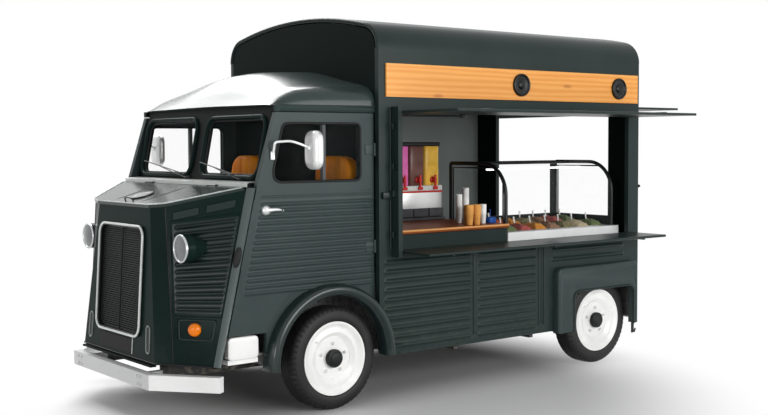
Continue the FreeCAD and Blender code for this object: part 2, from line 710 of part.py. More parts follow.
def cab_post(side):
    """Corner post from roof to sill: upper part beside the screen, lower part behind the nose side."""
    inner = CAB_HALF - DOOR_T - 28
    z_top, z_mid, z_low = DOOR_TOP + RUN, COWL_Z[0], NOSE_LOW_Z
    gap = RUN + 2
    # corners as (x, y): door edge outside, outer front, inner front, inner rear, door edge inside
    top_x, mid_x, low_x = POST_TOP[0] + gap, post_x(z_mid) + gap, post_x(z_low) + gap
    top = [(top_x, CAB_HALF), (top_x + 12, CAB_HALF - 10), (screen_x(z_top), SCREEN_HALF[0] - 4),
           (screen_x(z_top) - SCREEN_T, SCREEN_HALF[0] - 14), (top_x, inner - 20)]
    mid = [(mid_x, CAB_HALF), (mid_x + 30, CAB_HALF - 36), (screen_x(z_mid), SCREEN_HALF[1] - 4),
           (screen_x(z_mid) - SCREEN_T, SCREEN_HALF[1] - 24), (mid_x, inner)]
    tx, ty = NOSE_REAR_TOP[0] - 2 * FIT, NOSE_REAR_TOP[1]
    fx, fy = NOSE_REAR_LOW[0] - FIT, NOSE_REAR_LOW[1]
    behind = [(mid_x, CAB_HALF), (tx, ty), (tx, ty - 40), (tx - 30, ty - 40), (mid_x, inner)]
    foot = [(low_x, CAB_HALF), (fx, fy), (fx, fy - 40), (fx - 30, fy - 40), (low_x, inner)]
    upper = loft([polygon([(x, y, z_mid) for x, y in mid]), polygon([(x, y, z_top) for x, y in top])])
    lower = loft([polygon([(x, y, z_low) for x, y in foot]), polygon([(x, y, z_mid) for x, y in behind])])
    post = fuse([upper, lower])
    return post if side > 0 else mirror(post)


def cab_shell():
    """Screen frame, corner posts, cowl and the rails above the doors."""
    parts = [screen_frame()]
    for side in (1, -1):
        parts.append(cab_post(side))
        rail = box((BOX_FRONT, POST_TOP[0] + 2), (side * (CAB_HALF - DOOR_T), side * CAB_HALF),
                   (DOOR_TOP + RUN, SCREEN_TOP[1]))
        parts.append(rail)
    header_x = (SCREEN_TOP[0] - SCREEN_T, SCREEN_TOP[0])
    parts.append(box(header_x, (-CAB_HALF + 5, CAB_HALF - 5), (DOOR_TOP + RUN, SCREEN_TOP[1])))
    parts.append(box((POST_WAIST[0] - 90, COWL_FRONT_X), (-SCREEN_HALF[1], SCREEN_HALF[1]), COWL_Z))
    x, z = HOOD_HINGE
    pad_x = (COWL_FRONT_X, x - HOOD_BARREL_R - FIT)
    for y in HOOD_BARREL_Y:
        parts.append(box(pad_x, (y, y + HOOD_BARREL_LEN), (z - PAD_HALF, z + PAD_HALF)))
    return fuse(parts)


def cab_roof():
    """Domed cab roof: a shell lofted through four sections."""
    # (x, height of the crest above the gutter, corner drop radius, half width)
    sections = [
        (SCREEN_TOP[0] + 22, 14, 10, CAB_HALF - 59),
        (380, 132, 60, CAB_HALF - 40),
        (220, 236, 90, CAB_HALF - 20),
        (BOX_FRONT, 292, 110, CAB_HALF)]
    outer = loft([roof_rib(x, h, r, w, 0) for x, h, r, w in sections])
    front, rear = sections[0], sections[-1]
    hollow = [(front[0] - CAB_ROOF_T, front[1] + CAB_ROOF_T, *front[2:])]
    hollow += sections[1:-1] + [(rear[0] - 5, *rear[1:])]
    inner = loft([roof_rib(x, h - CAB_ROOF_T, r, w, CAB_ROOF_T) for x, h, r, w in hollow])
    return outer.cut(inner)


def roof_rib(x, height, r, half, inset):
    """Closed section of the cab roof at x: flat foot, short sides, corner chords, crowned top."""
    z = SCREEN_TOP[1]
    w = half - inset
    side_h = height * 0.28
    shoulder = height * 0.58
    return Part.Wire([
        Part.makeLine(V(x, -w, z), V(x, w, z)),
        Part.makeLine(V(x, w, z), V(x, w, z + side_h)),
        Part.makeLine(V(x, w, z + side_h), V(x, w - r, z + shoulder)),
        Part.Arc(V(x, w - r, z + shoulder), V(x, 0, z + height), V(x, -w + r, z + shoulder)).toShape(),
        Part.makeLine(V(x, -w + r, z + shoulder), V(x, -w, z + side_h)),
        Part.makeLine(V(x, -w, z + side_h), V(x, -w, z))])


WINDOW = [(-222.0, 1588.0), (-222.0, 1980.0), (416.0, 1980.0), (502.0, 1640.0), (470.0, 1588.0)]


def door(side):
    """Cab door, hinged at its rear edge, cut over the fender, with its window opening."""
    y = (side * (CAB_HALF - DOOR_T), side * CAB_HALF)
    outline = [(DOOR_REAR, DOOR_TOP), POST_TOP, POST_WAIST, POST_FOOT, (POST_FOOT[0], 380), (DOOR_REAR, 380)]
    panel = slab_xz(outline, y)
    over = cyl(DOOR_ARC_R, 200, (ARCH_X, side * CAB_HALF - 100, TYRE_R), (0, 1, 0))
    across = (side * CAB_HALF - 100, side * CAB_HALF + 100)
    under_rear = box((DOOR_REAR - 10, ARCH_X), across, (0, DOOR_LOW_REAR))
    under_front = box((0, 1200), across, (0, DOOR_LOW_FRONT))
    panel = panel.cut(over).cut(under_rear).cut(under_front)
    window = slab_xz(WINDOW, across)
    window = rounded(window, 30, (0, 1, 0))
    bar = box((68, 88), (side * (CAB_HALF - DOOR_T + 4), side * (CAB_HALF - 10)), (1560, 2000))
    hinge_x = BOX_FRONT + HINGE_R + FIT
    parts = [panel.cut(window), bar]
    for z in (1120.0, 1800.0):
        parts.append(knuckle_bar((hinge_x, side * DOOR_PIVOT_Y, z - 45), 90, (0, 0, 1)))
    boss_y = side * CAB_HALF
    parts.append(cyl(22, 16, (560, boss_y, 1408), (0, side, 0)))
    parts.append(box((440, 560), (boss_y + side * 16, boss_y + side * 30), (1399, 1417)))
    parts.append(cyl(10, 30, (560, boss_y, 1408), (0, side, 0)))
    return fuse(parts)


def door_glass(side):
    """Window pane of a cab door, in two lights either side of the bar."""
    mid = side * (CAB_HALF - 22)
    pane = slab_xz(WINDOW, (mid - 2.5, mid + 2.5))
    pane = rounded(pane, 30, (0, 1, 0))
    shrink = []
    for x in ((-221.5, 67.5), (88.5, 520.0)):
        shrink.append(pane.common(box(x, (mid - 10, mid + 10), (1588.5, 1979.5))))
    return bunch(shrink)


def front_fender(side):
    """Flared arch over the front wheel, from the sill to the box."""
    depth = FENDER_Y[1] - FENDER_Y[0]
    start = (ARCH_X, side * FENDER_Y[0], TYRE_R)
    ring = cyl(FENDER_OUT_R, depth, start, (0, side, 0)).cut(cyl(STEER_CLEAR_R, depth, start, (0, side, 0)))
    upper = box((-600, 700), (side * FENDER_Y[0], side * FENDER_Y[1]), (340, 1000))
    arch = ring.common(upper)
    web_y = (side * FENDER_Y[0], side * (CAB_HALF - 8))
    web = box((BOX_FRONT, POST_FOOT[0] - 250), web_y, (340, DOOR_LOW_REAR - RUN))
    inside = (ARCH_X, side * (FENDER_Y[0] - 45), TYRE_R)
    clear = cyl(STEER_CLEAR_R, 200, inside, (0, side, 0))
    door_low = cyl(DOOR_ARC_R - RUN, 200, inside, (0, side, 0))
    rear_web = box((BOX_FRONT, ARCH_X), web_y, (340, DOOR_LOW_REAR - RUN))
    sill = box((ARCH_X + FENDER_OUT_R - 5, 1200), (web_y[0] - 100, web_y[0] + 100), (0, DOOR_LOW_FRONT - RUN))
    return fuse([arch, web.common(door_low.fuse(rear_web)).cut(clear).cut(sill)])


SILL_X = (ARCH_X + DOOR_ARC_R + 2, POST_FOOT[0] - 5)
SILL_PLATE_Z = (440.0, 590.0)


def sill_panel(side):
    """Bright sill plate over a short step, between the nose and the fender."""
    plate = box(SILL_X, (side * (CAB_HALF - 60), side * (CAB_HALF - 12)), SILL_PLATE_Z)
    plate = rounded(plate, 30, (0, 1, 0))
    step = box(SILL_X, (side * (CAB_HALF - 260), side * (CAB_HALF - 20)), (412, 442))
    return fuse([plate, step])


def nose_polygon(low, inset):
    """Corner points of the nose shell at its foot or at the bonnet, as a flat closed wire."""
    if low:
        pts = [(NOSE_LOW_X, NOSE_LOW_HALF), SEAM_LOW, NOSE_REAR_LOW]
        wire = polygon([(x, y, NOSE_LOW_Z) for x, y in pts] + [(x, -y, NOSE_LOW_Z) for x, y in reversed(pts)])
    else:
        pts = [(NOSE_TOP_X, NOSE_TOP_HALF), SEAM_TOP, NOSE_REAR_TOP]
        pts = [(x, y, hood_z(x)) for x, y in pts]
        wire = polygon(pts + [(x, -y, z) for x, y, z in reversed(pts)])
    return wire.makeOffset2D(-inset, 2) if inset else wire


def hood_z(x):
    """Height of the bonnet's underside at x."""
    return NOSE_TOP_Z + (NOSE_TOP_X - x) * NOSE_HOOD_RISE


def nose_solid():
    """The nose as one filled block, which its lamps are seated on."""
    return loft([nose_polygon(True, 0), nose_polygon(False, 0)])


def nose_shell():
    """Nose below the bonnet: front, corners, sides and the wall behind the engine."""
    outer = nose_solid()
    inner = loft([nose_polygon(True, NOSE_T), nose_polygon(False, NOSE_T)])
    lift = inner.copy()
    lift.translate(V(0, 0, 1))
    drop = inner.copy()
    drop.translate(V(0, 0, -1))
    shell = outer.cut(inner).cut(lift).cut(drop)
    grille_half = GRILLE_HALF - 12
    grille_hole = box((900, 1300), (-grille_half, grille_half), (GRILLE_Z[0] + 12, GRILLE_Z[1] - 12))
    tunnel = box((400, 960), (-TUNNEL_HALF, TUNNEL_HALF), (NOSE_LOW_Z - 10, TUNNEL_TOP))
    return shell.cut(grille_hole).cut(tunnel)


def hood():
    """Bonnet: a flat sloping lid from the nose lip to the cowl, with two hinge barrels."""
    t = 22.0
    lip = 14.0
    pts = [(NOSE_TOP_X + lip, NOSE_TOP_HALF + 6), (SEAM_TOP[0] + 6, SEAM_TOP[1] + 10),
           (NOSE_REAR_TOP[0] + RUN, NOSE_REAR_TOP[1] - 10)]
    low = [(x, y, hood_z(x) + FIT) for x, y in pts]
    face = Part.Face(polygon(low + [(x, -y, z) for x, y, z in reversed(low)]))
    parts = [face.extrude(V(0, 0, t))]
    x, z = HOOD_HINGE
    for y in HOOD_BARREL_Y:
        parts.append(cyl(HOOD_BARREL_R, HOOD_BARREL_LEN, (x, y, z), (0, 1, 0)))
    return fuse(parts)


def grille():
    """Upright grille: rim, core and fine bars, carried in the nose."""
    def front_x(z):
        return line_at((NOSE_TOP_X, NOSE_TOP_Z), (NOSE_LOW_X, NOSE_LOW_Z), z)
    z0, z1 = GRILLE_Z
    rim = slab_xz([(front_x(z0) + 16, z0), (front_x(z1) + 16, z1), (front_x(z1), z1), (front_x(z0), z0)],
                  (-GRILLE_HALF, GRILLE_HALF))
    hole = box((900, 1300), (-GRILLE_HALF + 22, GRILLE_HALF - 22), (z0 + 22, z1 - 22))
    half = (-GRILLE_HALF + 14, GRILLE_HALF - 14)

    def plate(out, back):
        return slab_xz([(front_x(z0) + out, z0 + 14), (front_x(z1) + out, z1 - 14),
                        (front_x(z1) + back, z1 - 14), (front_x(z0) + back, z0 + 14)], half)
    return fuse([rim.cut(hole), plate(1, -10).cut(hole), plate(-8, -22)])


BUMPER_X = 1240.0
PLATE_SPACING = 290.0         # between the number plate's two holes
PLATE_HOLE_R = 3.5


def front_bumper():
    """Channel bumper: straight across the nose, then swept back on both sides."""
    z = (248.0, 348.0)
    # (x, y) round the left half, from the front to the inside
    half = [(BUMPER_X, 592), (925, BOX_HALF - 28), (880, BOX_HALF - 60), (BUMPER_X - 60, 560)]
    outline = half + [(x, -y) for x, y in reversed(half)]
    face = Part.Face(polygon([(x, y, z[0]) for x, y in outline]))
    parts = [face.extrude(V(0, 0, z[1] - z[0]))]
    for side in (1, -1):
        arm_y = (side * (RAIL_Y - 20), side * (RAIL_Y + 20))
        parts.append(box((1060, BUMPER_X - 55), arm_y, (RAIL_Z[0] + 8, z[1] - 12)))
    bar = fuse(parts)
    for side in (1, -1):
        hole = cyl(PLATE_HOLE_R, 200, (1100, side * PLATE_SPACING / 2, (z[0] + z[1]) / 2), (1, 0, 0))
        bar = bar.cut(hole)
    return bar


TOW_X = BOX_REAR - 115.0      # centre of the tow pin's hole
TOW_Z = (330.0, 350.0)
TOW_PIN_R = 13.0


def rear_bumper():
    """Straight bumper behind the box, with the tow plate under its middle."""
    bar = box((BOX_REAR - 70, BOX_REAR - 30), (-900, 900), (330, 430))
    plate = box((TOW_X - 45, BOX_REAR - 30), (-55, 55), TOW_Z)
    bar = bar.fuse(plate).cut(cyl(TOW_PIN_R, 200, (TOW_X, 0, TOW_Z[0] - 50), (0, 0, 1)))
    arms = [box((BOX_REAR - 40, BOX_REAR + 30), (side * 405, side * 455), (332, 361)) for side in (1, -1)]
    return fuse([bar] + arms)


def nose_side_point(share, z):
    """Point on the nose's left side between seam (0) and post (1) at the height z."""
    f = (z - NOSE_LOW_Z) / (NOSE_TOP_Z + 20 - NOSE_LOW_Z)
    ax = SEAM_LOW[0] + (SEAM_TOP[0] - SEAM_LOW[0]) * f
    ay = SEAM_LOW[1] + (SEAM_TOP[1] - SEAM_LOW[1]) * f
    bx = NOSE_REAR_LOW[0] + (NOSE_REAR_TOP[0] - NOSE_REAR_LOW[0]) * f
    by = NOSE_REAR_LOW[1] + (NOSE_REAR_TOP[1] - NOSE_REAR_LOW[1]) * f
    return V(ax + (bx - ax) * share, ay + (by - ay) * share, z)


def headlamp(side):
    """Round headlamp that faces forward from the nose's side."""
    at = nose_side_point(0.30, 1168.0)
    start = V(at.x - 60, at.y + 28, at.z)
    shell = cyl(HEADLAMP_R, 60, (start.x + 80, start.y + 20, start.z), (1, 0, 0))
    cone = Part.makeCone(46, HEADLAMP_R, 120, V(start.x - 40, start.y + 20, start.z), V(1, 0, 0))
    lamp = fuse([shell, cone]).cut(nose_solid())
    return lamp if side > 0 else mirror(lamp)


def indicator(side):
    """Front turn lamp low on the nose's side."""
    at = nose_side_point(0.48, 640.0)
    away = V(0.66, 0.75, 0)
    away.normalize()
    lamp = cyl(34, 40, tuple(at - away * 6), tuple(away)).cut(nose_solid())
    return lamp if side > 0 else mirror(lamp)


TAIL_LAMP_R = 38.0
TAIL_LAMP_Z = (480.0, 575.0)


def tail_lamp(side, z):
    """Round lamp on the rear wall, outside the folded shelf."""
    return cyl(TAIL_LAMP_R, 26, (BOX_REAR, side * (BOX_HALF - 82), z), (-1, 0, 0))


def door_mirror(side):
    """Mirror head on a bent arm from the door's front frame."""
    head = box((255, 290), (CAB_HALF + 120, CAB_HALF + 260), (1672, 1928))
    head = rounded(head, 45, (1, 0, 0))
    # (x, y beyond the door's face, z) from the clamp to the head
    bends = [(505, 8.3, 1765), (505, 47, 1850), (420, 105, 1858), (290, 175, 1815)]
    route = [(x, CAB_HALF + out, z) for x, out, z in bends]
    base = box((493, 517), (CAB_HALF + FIT, CAB_HALF + 14), (1740, 1790))
    parts = [head, base]
    for a, b in zip(route, route[1:]):
        pa, pb = V(*a), V(*b)
        parts.append(Part.makeCylinder(8, (pb - pa).Length, pa, pb - pa))
        parts.append(Part.makeSphere(8, pb))
    whole = fuse(parts)
    return whole if side > 0 else mirror(whole)


def cab_floor():
    """Cab floor with a box over each front wheel and the cover over the engine."""
    t = 20.0
    x_rear, x_front = WHEEL_BOX_X
    y_in = WHEEL_BOX_IN
    top = WHEEL_BOX_TOP
    parts = [box((BOX_FRONT, 945), (-y_in, y_in), (RAIL_Z[1], NOSE_LOW_Z))]
    for side in (1, -1):
        y = (side * y_in, side * (FENDER_Y[0] - 2))
        z_low = RAIL_Z[1]
        parts.append(box((x_rear, x_front), y, (top - t, top)))
        parts.append(box((x_rear, x_front), (side * y_in, side * (y_in + t)), (z_low, top)))
        parts.append(box((x_front - t, x_front), y, (z_low, top)))
        parts.append(box((x_rear, x_rear + t), y, (z_low, top)))
        parts.append(box((x_front, 830), (side * y_in, side * (CAB_HALF - 62)), (442, 460)))
        parts.append(box((x_front, 830), (side * y_in, side * (y_in + t)), (z_low, 460)))
    parts.append(box((TUNNEL_REAR, 760), (-TUNNEL_HALF, TUNNEL_HALF), (RAIL_Z[1], TUNNEL_TOP)))
    hollow = box((TUNNEL_REAR + t, 1000), (-TUNNEL_HALF + t, TUNNEL_HALF - t), (0, TUNNEL_TOP - t))
    return fuse(parts).cut(hollow)


def engine():
    """Engine with its gearbox as one plain block over the front crossmember."""
    return box((345, 955), (-270, 270), (RAIL_Z[1] + FIT, 1050))


def dashboard():
    """Dash shelf below the windscreen, from post to post."""
    pts = [(540, COWL_Z[0]), (540, 1500), (430, 1480), (410, 1330), (560, 1310), (600, COWL_Z[0])]
    return slab_xz(pts, (-860, 860))


SEAT_Y = 600.0
SEAT_HALF = 245.0
SEAT_REAR = -340.0
SEAT_DEPTH = 490.0


def seat_frame(side):
    """Steel seat frame on the wheel box."""
    y = (side * SEAT_Y - SEAT_HALF + 30, side * SEAT_Y + SEAT_HALF - 30)
    base = box((SEAT_REAR, SEAT_REAR + SEAT_DEPTH - 10), y, (WHEEL_BOX_TOP, WHEEL_BOX_TOP + 60))
    back = box((BOX_FRONT + FIT, SEAT_REAR), y, (WHEEL_BOX_TOP, 1480))
    return fuse([base, back])


def seat_cushion(side):
    """Seat cushion."""
    y = (side * SEAT_Y - SEAT_HALF, side * SEAT_Y + SEAT_HALF)
    pad = box((SEAT_REAR + 130, SEAT_REAR + SEAT_DEPTH), y, (WHEEL_BOX_TOP + 60 + FIT, WHEEL_BOX_TOP + 170))
    return pad.makeFillet(35, pad.Edges)


def seat_back(side):
    """Backrest that leans on the seat frame."""
    y = (side * SEAT_Y - SEAT_HALF, side * SEAT_Y + SEAT_HALF)
    pad = box((SEAT_REAR + FIT, SEAT_REAR + 120), y, (WHEEL_BOX_TOP + 180, 1770))
    return pad.makeFillet(50, pad.Edges)


def steering_wheel():
    """Steering wheel on its column, fixed to the dashboard."""
    hub = V(395, SEAT_Y, 1300)
    axis = V(-0.82, 0, 0.57)
    axis.normalize()
    ring = Part.makeTorus(205, 13, hub, axis)
    parts = [ring, Part.makeCylinder(32, 40, hub - axis * 28, axis)]
    column = Part.makeCylinder(22, 240, hub - axis * 250, axis)
    side_dir = V(0, 1, 0)
    up_dir = axis.cross(side_dir)
    for angle in (90, 210, 330):
        a = math.radians(angle)
        spoke = side_dir * math.cos(a) + up_dir * math.sin(a)
        parts.append(Part.makeCylinder(9, 205, hub, spoke))
    return fuse(parts + [column]).cut(dashboard())


def exhaust():
    """Exhaust pipe with its silencer, hung beside the left rail."""
    y, z = -560.0, 270.0
    pipe = cyl(22, 1560, (-2240, y, z), (1, 0, 0))
    silencer = cyl(55, 520, (-1750, y, z - 5), (1, 0, 0))
    hangers = [box((x - 12, x + 12), (y - 10, y + 10), (z, FLOOR_Z[0])) for x in (-2150.0, -720.0)]
    return fuse([pipe, silencer] + hangers)


def build():
    """Every node's shape by name, in the frame of the front axle."""
    nodes = {
        "chassis_frame": chassis_frame(),
        "front_axle": front_axle(),
        "rear_axle": rear_axle(),
        "engine": engine(),
        "nose_shell": nose_shell(),
        "hood": hood(),
        "grille": grille(),
        "front_bumper": front_bumper(),
        "rear_bumper": rear_bumper(),
        "cab_shell": cab_shell(),
        "windscreen": windscreen(),
        "cab_roof": cab_roof(),
        "cab_floor": cab_floor(),
        "dashboard": dashboard(),
        "steering_wheel": steering_wheel(),
        "box_floor": box_floor(),
        "front_wall": front_wall(),
        "rear_wall": rear_wall(),
        "box_roof": box_roof(),
        "serving_jamb": serving_jamb(),
        "serving_flap": serving_flap(),
        "serving_shelf": serving_shelf(),
        "rear_hatch": rear_hatch(),
        "rear_shelf": rear_shelf(),
        "staff_door": staff_door(),
        "cabinets": bunch([counter(), display_cabinet()]),
        "counter_top": counter_top(),
        "display_base": display_base(),
        "display_frame": display_frame(),
        "display_glass": display_glass(),
        "drinks_machine": drinks_machine(),
        "exhaust": exhaust(),
    }
    sides = (("left", 1), ("right", -1))
    for name, side in sides:
        nodes["side_wall_" + name] = side_wall(side)
        nodes["door_" + name] = door(side)
        nodes["door_glass_" + name] = door_glass(side)
        nodes["mirror_" + name] = door_mirror(side)
        nodes["knuckle_" + name] = knuckle(side)
        for end, x in (("front", 0.0), ("rear", -WHEELBASE)):
            nodes["wheel_" + end + "_" + name] = wheel(x, side)
            nodes["tyre_" + end + "_" + name] = tyre(x, side)
    paired = {
        "front_fenders": front_fender, "rear_fenders": rear_fender, "sign_boards": sign_board,
        "sill_panels": sill_panel, "seat_frames": seat_frame,
        "headlamps": headlamp}
    for name, make in paired.items():
        nodes[name] = bunch([make(side) for side in (1, -1)])
    nodes["seat_pads"] = bunch([make(side) for make in (seat_cushion, seat_back) for side in (1, -1)])
    nodes["speakers"] = bunch([speaker(x, side) for x in SPEAKER_X for side in (1, -1)])
    small = [indicator(side) for side in (1, -1)]
    small += [tail_lamp(side, z) for z in TAIL_LAMP_Z for side in (1, -1)]
    nodes["small_lamps"] = bunch(small)
    return nodes


def export(nodes):
    """Moves every part so that the origin is at the bottom centre, and writes the STEP files."""
    total = FreeCAD.BoundBox()
    for shape in nodes.values():
        total.add(shape.optimalBoundingBox(False, False))
    shift = V(-total.Center.x, -total.Center.y, -total.ZMin)
    os.makedirs("parts", exist_ok=True)
    for name, shape in nodes.items():
        moved = shape.copy()
        moved.translate(shift)
        moved.exportStep(os.path.join("parts", name + ".step"))
        state = "valid" if moved.isValid() else "INVALID"
        print(name, len(moved.Solids), state, round(moved.Volume / 1e6, 2))
    print("shift", [round(v, 3) for v in shift], "size",
          [round(v, 1) for v in (total.XLength, total.YLength, total.ZLength)], "nodes", len(nodes))


export(build())
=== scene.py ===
"""Food truck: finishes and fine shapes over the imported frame.

Truck coordinates: metres, x forward of the front axle, y to the left of the centreline, z above the ground.
"""
import math
import bmesh
import bpy
import numpy as np
from mathutils import Matrix, Vector


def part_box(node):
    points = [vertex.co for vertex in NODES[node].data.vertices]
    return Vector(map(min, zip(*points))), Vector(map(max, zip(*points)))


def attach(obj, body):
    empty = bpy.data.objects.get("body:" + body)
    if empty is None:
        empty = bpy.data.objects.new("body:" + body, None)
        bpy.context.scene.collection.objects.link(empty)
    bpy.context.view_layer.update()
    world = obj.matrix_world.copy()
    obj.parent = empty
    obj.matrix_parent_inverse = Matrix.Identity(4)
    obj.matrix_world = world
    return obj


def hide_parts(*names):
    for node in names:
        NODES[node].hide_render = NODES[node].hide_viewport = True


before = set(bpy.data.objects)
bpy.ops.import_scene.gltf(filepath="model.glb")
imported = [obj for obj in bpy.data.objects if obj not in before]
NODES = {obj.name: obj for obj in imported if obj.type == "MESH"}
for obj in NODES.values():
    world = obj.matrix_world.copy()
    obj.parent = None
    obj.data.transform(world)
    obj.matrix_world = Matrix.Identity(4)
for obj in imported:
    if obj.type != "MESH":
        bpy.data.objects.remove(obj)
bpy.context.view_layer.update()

_left_low, _left_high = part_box("tyre_front_left")
_right_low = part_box("tyre_front_right")[0]
ORIGIN = np.array([(_left_low[0] + _left_high[0]) / 2, (_left_high[1] + _right_low[1]) / 2, 0.0])


def in_truck(node):
    """Lowest and highest corners of a node in truck coordinates."""
    low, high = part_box(node)
    return np.array(low) - ORIGIN, np.array(high) - ORIGIN


TYRE_LOW, TYRE_HIGH = in_truck("tyre_front_left")
REAR_LOW, REAR_HIGH = in_truck("tyre_rear_left")
TYRE_R = (TYRE_HIGH[2] - TYRE_LOW[2]) / 2
TRACK = (TYRE_LOW[1] + TYRE_HIGH[1]) / 2
REAR_X = (REAR_LOW[0] + REAR_HIGH[0]) / 2
BOX_REAR = in_truck("box_floor")[0][0] - 0.04
BOX_SIDE = 1.0
SIDES = ((1, "left"), (-1, "right"))
DOOR_SIDE = 0.955


# ------------------------------------------------------------------ surfaces

class Shape:
    """Points and faces of one piece, gathered surface by surface."""

    def __init__(self):
        self.points = []
        self.faces = []
        self.count = 0

    def add(self, points, faces):
        """Adds points (n, 3) with faces given as index lists or arrays."""
        points = np.asarray(points, float).reshape(-1, 3)
        for face in faces:
            self.faces.append([int(i) + self.count for i in face])
        self.points.append(points)
        self.count += len(points)
        return self

    def grid(self, points, wrap_u=False, wrap_v=False, flip=False):
        """Adds a surface whose points are points[u, v]; it may close on itself in u or v."""
        nu, nv = points.shape[:2]
        iu = np.arange(nu if wrap_u else nu - 1)
        iv = np.arange(nv if wrap_v else nv - 1)
        a, b = np.meshgrid(iu, iv, indexing="ij")
        a2, b2 = (a + 1) % nu, (b + 1) % nv
        quads = np.stack([a * nv + b, a2 * nv + b, a2 * nv + b2, a * nv + b2], -1).reshape(-1, 4)
        if flip:
            quads = quads[:, ::-1]
        self.points.append(points.reshape(-1, 3))
        self.faces.extend((quads + self.count).tolist())
        self.count += nu * nv
        return self

    def rings(self, rings):
        """Adds a closed skin through rings[k, n] of points, with a flat cap on the first and last ring."""
        rings = np.asarray(rings, float)
        start = self.count
        k, n = rings.shape[:2]
        self.grid(rings, wrap_v=True)
        first = [start + i for i in range(n)]
        last = [start + (k - 1) * n + i for i in range(n)]
        self.faces.append(first)
        self.faces.append(last[::-1])
        return self


def make(name, shape, body, finish, slot, smooth=35.0, recalc=True):
    """Makes the piece in the row frame, gives it its finish and lets it ride on a body."""
    mesh = bpy.data.meshes.new(name)
    points = np.concatenate(shape.points) + ORIGIN
    mesh.from_pydata(points.tolist(), [], shape.faces)
    mesh.validate()
    if recalc:
        face_outwards(mesh)
    mesh.materials.append(finish)
    piece = bpy.data.objects.new(name, mesh)
    bpy.context.scene.collection.objects.link(piece)
    shade(mesh, smooth)
    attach(piece, body)
    return piece


def face_outwards(mesh):
    """Turns every closed shell's faces outwards."""
    work = bmesh.new()
    work.from_mesh(mesh)
    bmesh.ops.recalc_face_normals(work, faces=work.faces)
    work.to_mesh(mesh)
    work.free()


def shade(mesh, degrees):
    """Smooth faces, with edges sharper than the angle kept sharp."""
    mesh.polygons.foreach_set("use_smooth", np.ones(len(mesh.polygons), bool))
    if degrees < 180:
        mesh.set_sharp_from_angle(angle=math.radians(degrees))
    mesh.update()


def unit(v):
    v = np.asarray(v, float)
    return v / np.linalg.norm(v, axis=-1, keepdims=True)


def smooth_step(x, low, high):
    """0 below low, 1 above high, with a cubic ease between."""
    t = np.clip((x - low) / (high - low), 0, 1)
    return t * t * (3 - 2 * t)


def curve_through(knots, count):
    """Catmull-Rom curve: each span is the cubic whose end slopes are half the neighbours' chord."""
    p = np.asarray(knots, float)
    p = np.vstack([2 * p[0] - p[1], p, 2 * p[-1] - p[-2]])
    t = np.linspace(0, len(p) - 3 - 1e-9, count)
    i = t.astype(int)
    f = (t - i)[:, None]
    a, b, c, d = p[i], p[i + 1], p[i + 2], p[i + 3]
    return 0.5 * (2 * b + (c - a) * f + (2 * a - 5 * b + 4 * c - d) * f ** 2 + (3 * b - a - 3 * c + d) *
                  f ** 3)


def sweep(path, outline, closed=False, up=(0, 0, 1), scale=None):
    """Carries an outline (m, 2) along a path (n, 3): point = path + side * u + lift * v.

    side is across the path and level with 'up', lift completes the frame; scale gives the outline's size
    at each point of the path."""
    path = np.asarray(path, float)
    ahead = np.roll(path, -1, 0) - np.roll(path, 1, 0)
    if not closed:
        ahead[0] = path[1] - path[0]
        ahead[-1] = path[-1] - path[-2]
    ahead = unit(ahead)
    up = np.broadcast_to(np.asarray(up, float), path.shape)
    side = unit(np.cross(ahead, up))
    lift = np.cross(side, ahead)
    size = np.ones(len(path)) if scale is None else np.asarray(scale, float)
    u = (np.asarray(outline)[None, :, 0] * size[:, None])[..., None]
    v = (np.asarray(outline)[None, :, 1] * size[:, None])[..., None]
    return path[:, None] + side[:, None] * u + lift[:, None] * v


def circle(r, n=12, squash=1.0):
    """Points (r cos t, squash r sin t)."""
    t = np.arange(n) * 2 * math.pi / n
    return np.stack([r * np.cos(t), squash * r * np.sin(t)], -1)


def rod(shape, path, r, n=12, closed=False, up=(0.13, 0.21, 0.97), scale=None, squash=1.0):
    """Round bar along a path, capped at its ends unless it is closed."""
    rings = sweep(path, circle(r, n, squash), closed, up, scale)
    if closed:
        return shape.grid(rings, wrap_u=True, wrap_v=True)
    return shape.rings(rings)


CORE = 0.0001           # radius of a turned profile where it ends on its axis


def lathe(shape, profile, centre, axis, n=48, closed=False):
    """Turns a profile of (radius, distance along the axis) about the axis."""
    axis = unit(axis)
    e = unit(np.cross(axis, [0.31, 0.17, 0.93] if abs(axis[2]) < 0.9 else [1, 0, 0]))
    f = np.cross(axis, e)
    t = np.arange(n) * 2 * math.pi / n
    profile = np.asarray(profile, float)
    around = np.cos(t)[:, None] * e + np.sin(t)[:, None] * f
    points = np.asarray(centre) + profile[:, None, 1:2] * axis + profile[:, None, 0:1] * around[None]
    if closed:
        return shape.grid(points, wrap_u=True, wrap_v=True)
    return shape.rings(points)


def rounded_outline(w, h, r, n=6):
    """Rectangle w by h about the origin, with quarter circles of radius r at its corners."""
    r = min(r, w / 2 - 1e-5, h / 2 - 1e-5)
    t = np.linspace(0, math.pi / 2, n)
    quarter = np.stack([r * np.cos(t), r * np.sin(t)], -1)
    out = []
    for k, (sx, sy) in enumerate(((1, 1), (-1, 1), (-1, -1), (1, -1))):
        turn = k * math.pi / 2
        c, s = math.cos(turn), math.sin(turn)
        out.append(quarter @ np.array([[c, s], [-s, c]]) + [sx * (w / 2 - r), sy * (h / 2 - r)])
    return np.concatenate(out)


def inset(outline, d):
    """Moves a closed convex outline inwards by d, each point along the mean of its two edge normals."""
    ahead = unit(np.roll(outline, -1, 0) - outline + 1e-12)
    behind = np.roll(ahead, 1, 0)
    normal = unit(np.stack([-(ahead + behind)[:, 1], (ahead + behind)[:, 0]], -1))
    return outline + normal * d


def in_plane(outline, axis, level):
    """A flat outline (m, 2) set into space, at one level along an axis."""
    return np.insert(np.asarray(outline, float), axis, level, axis=1)


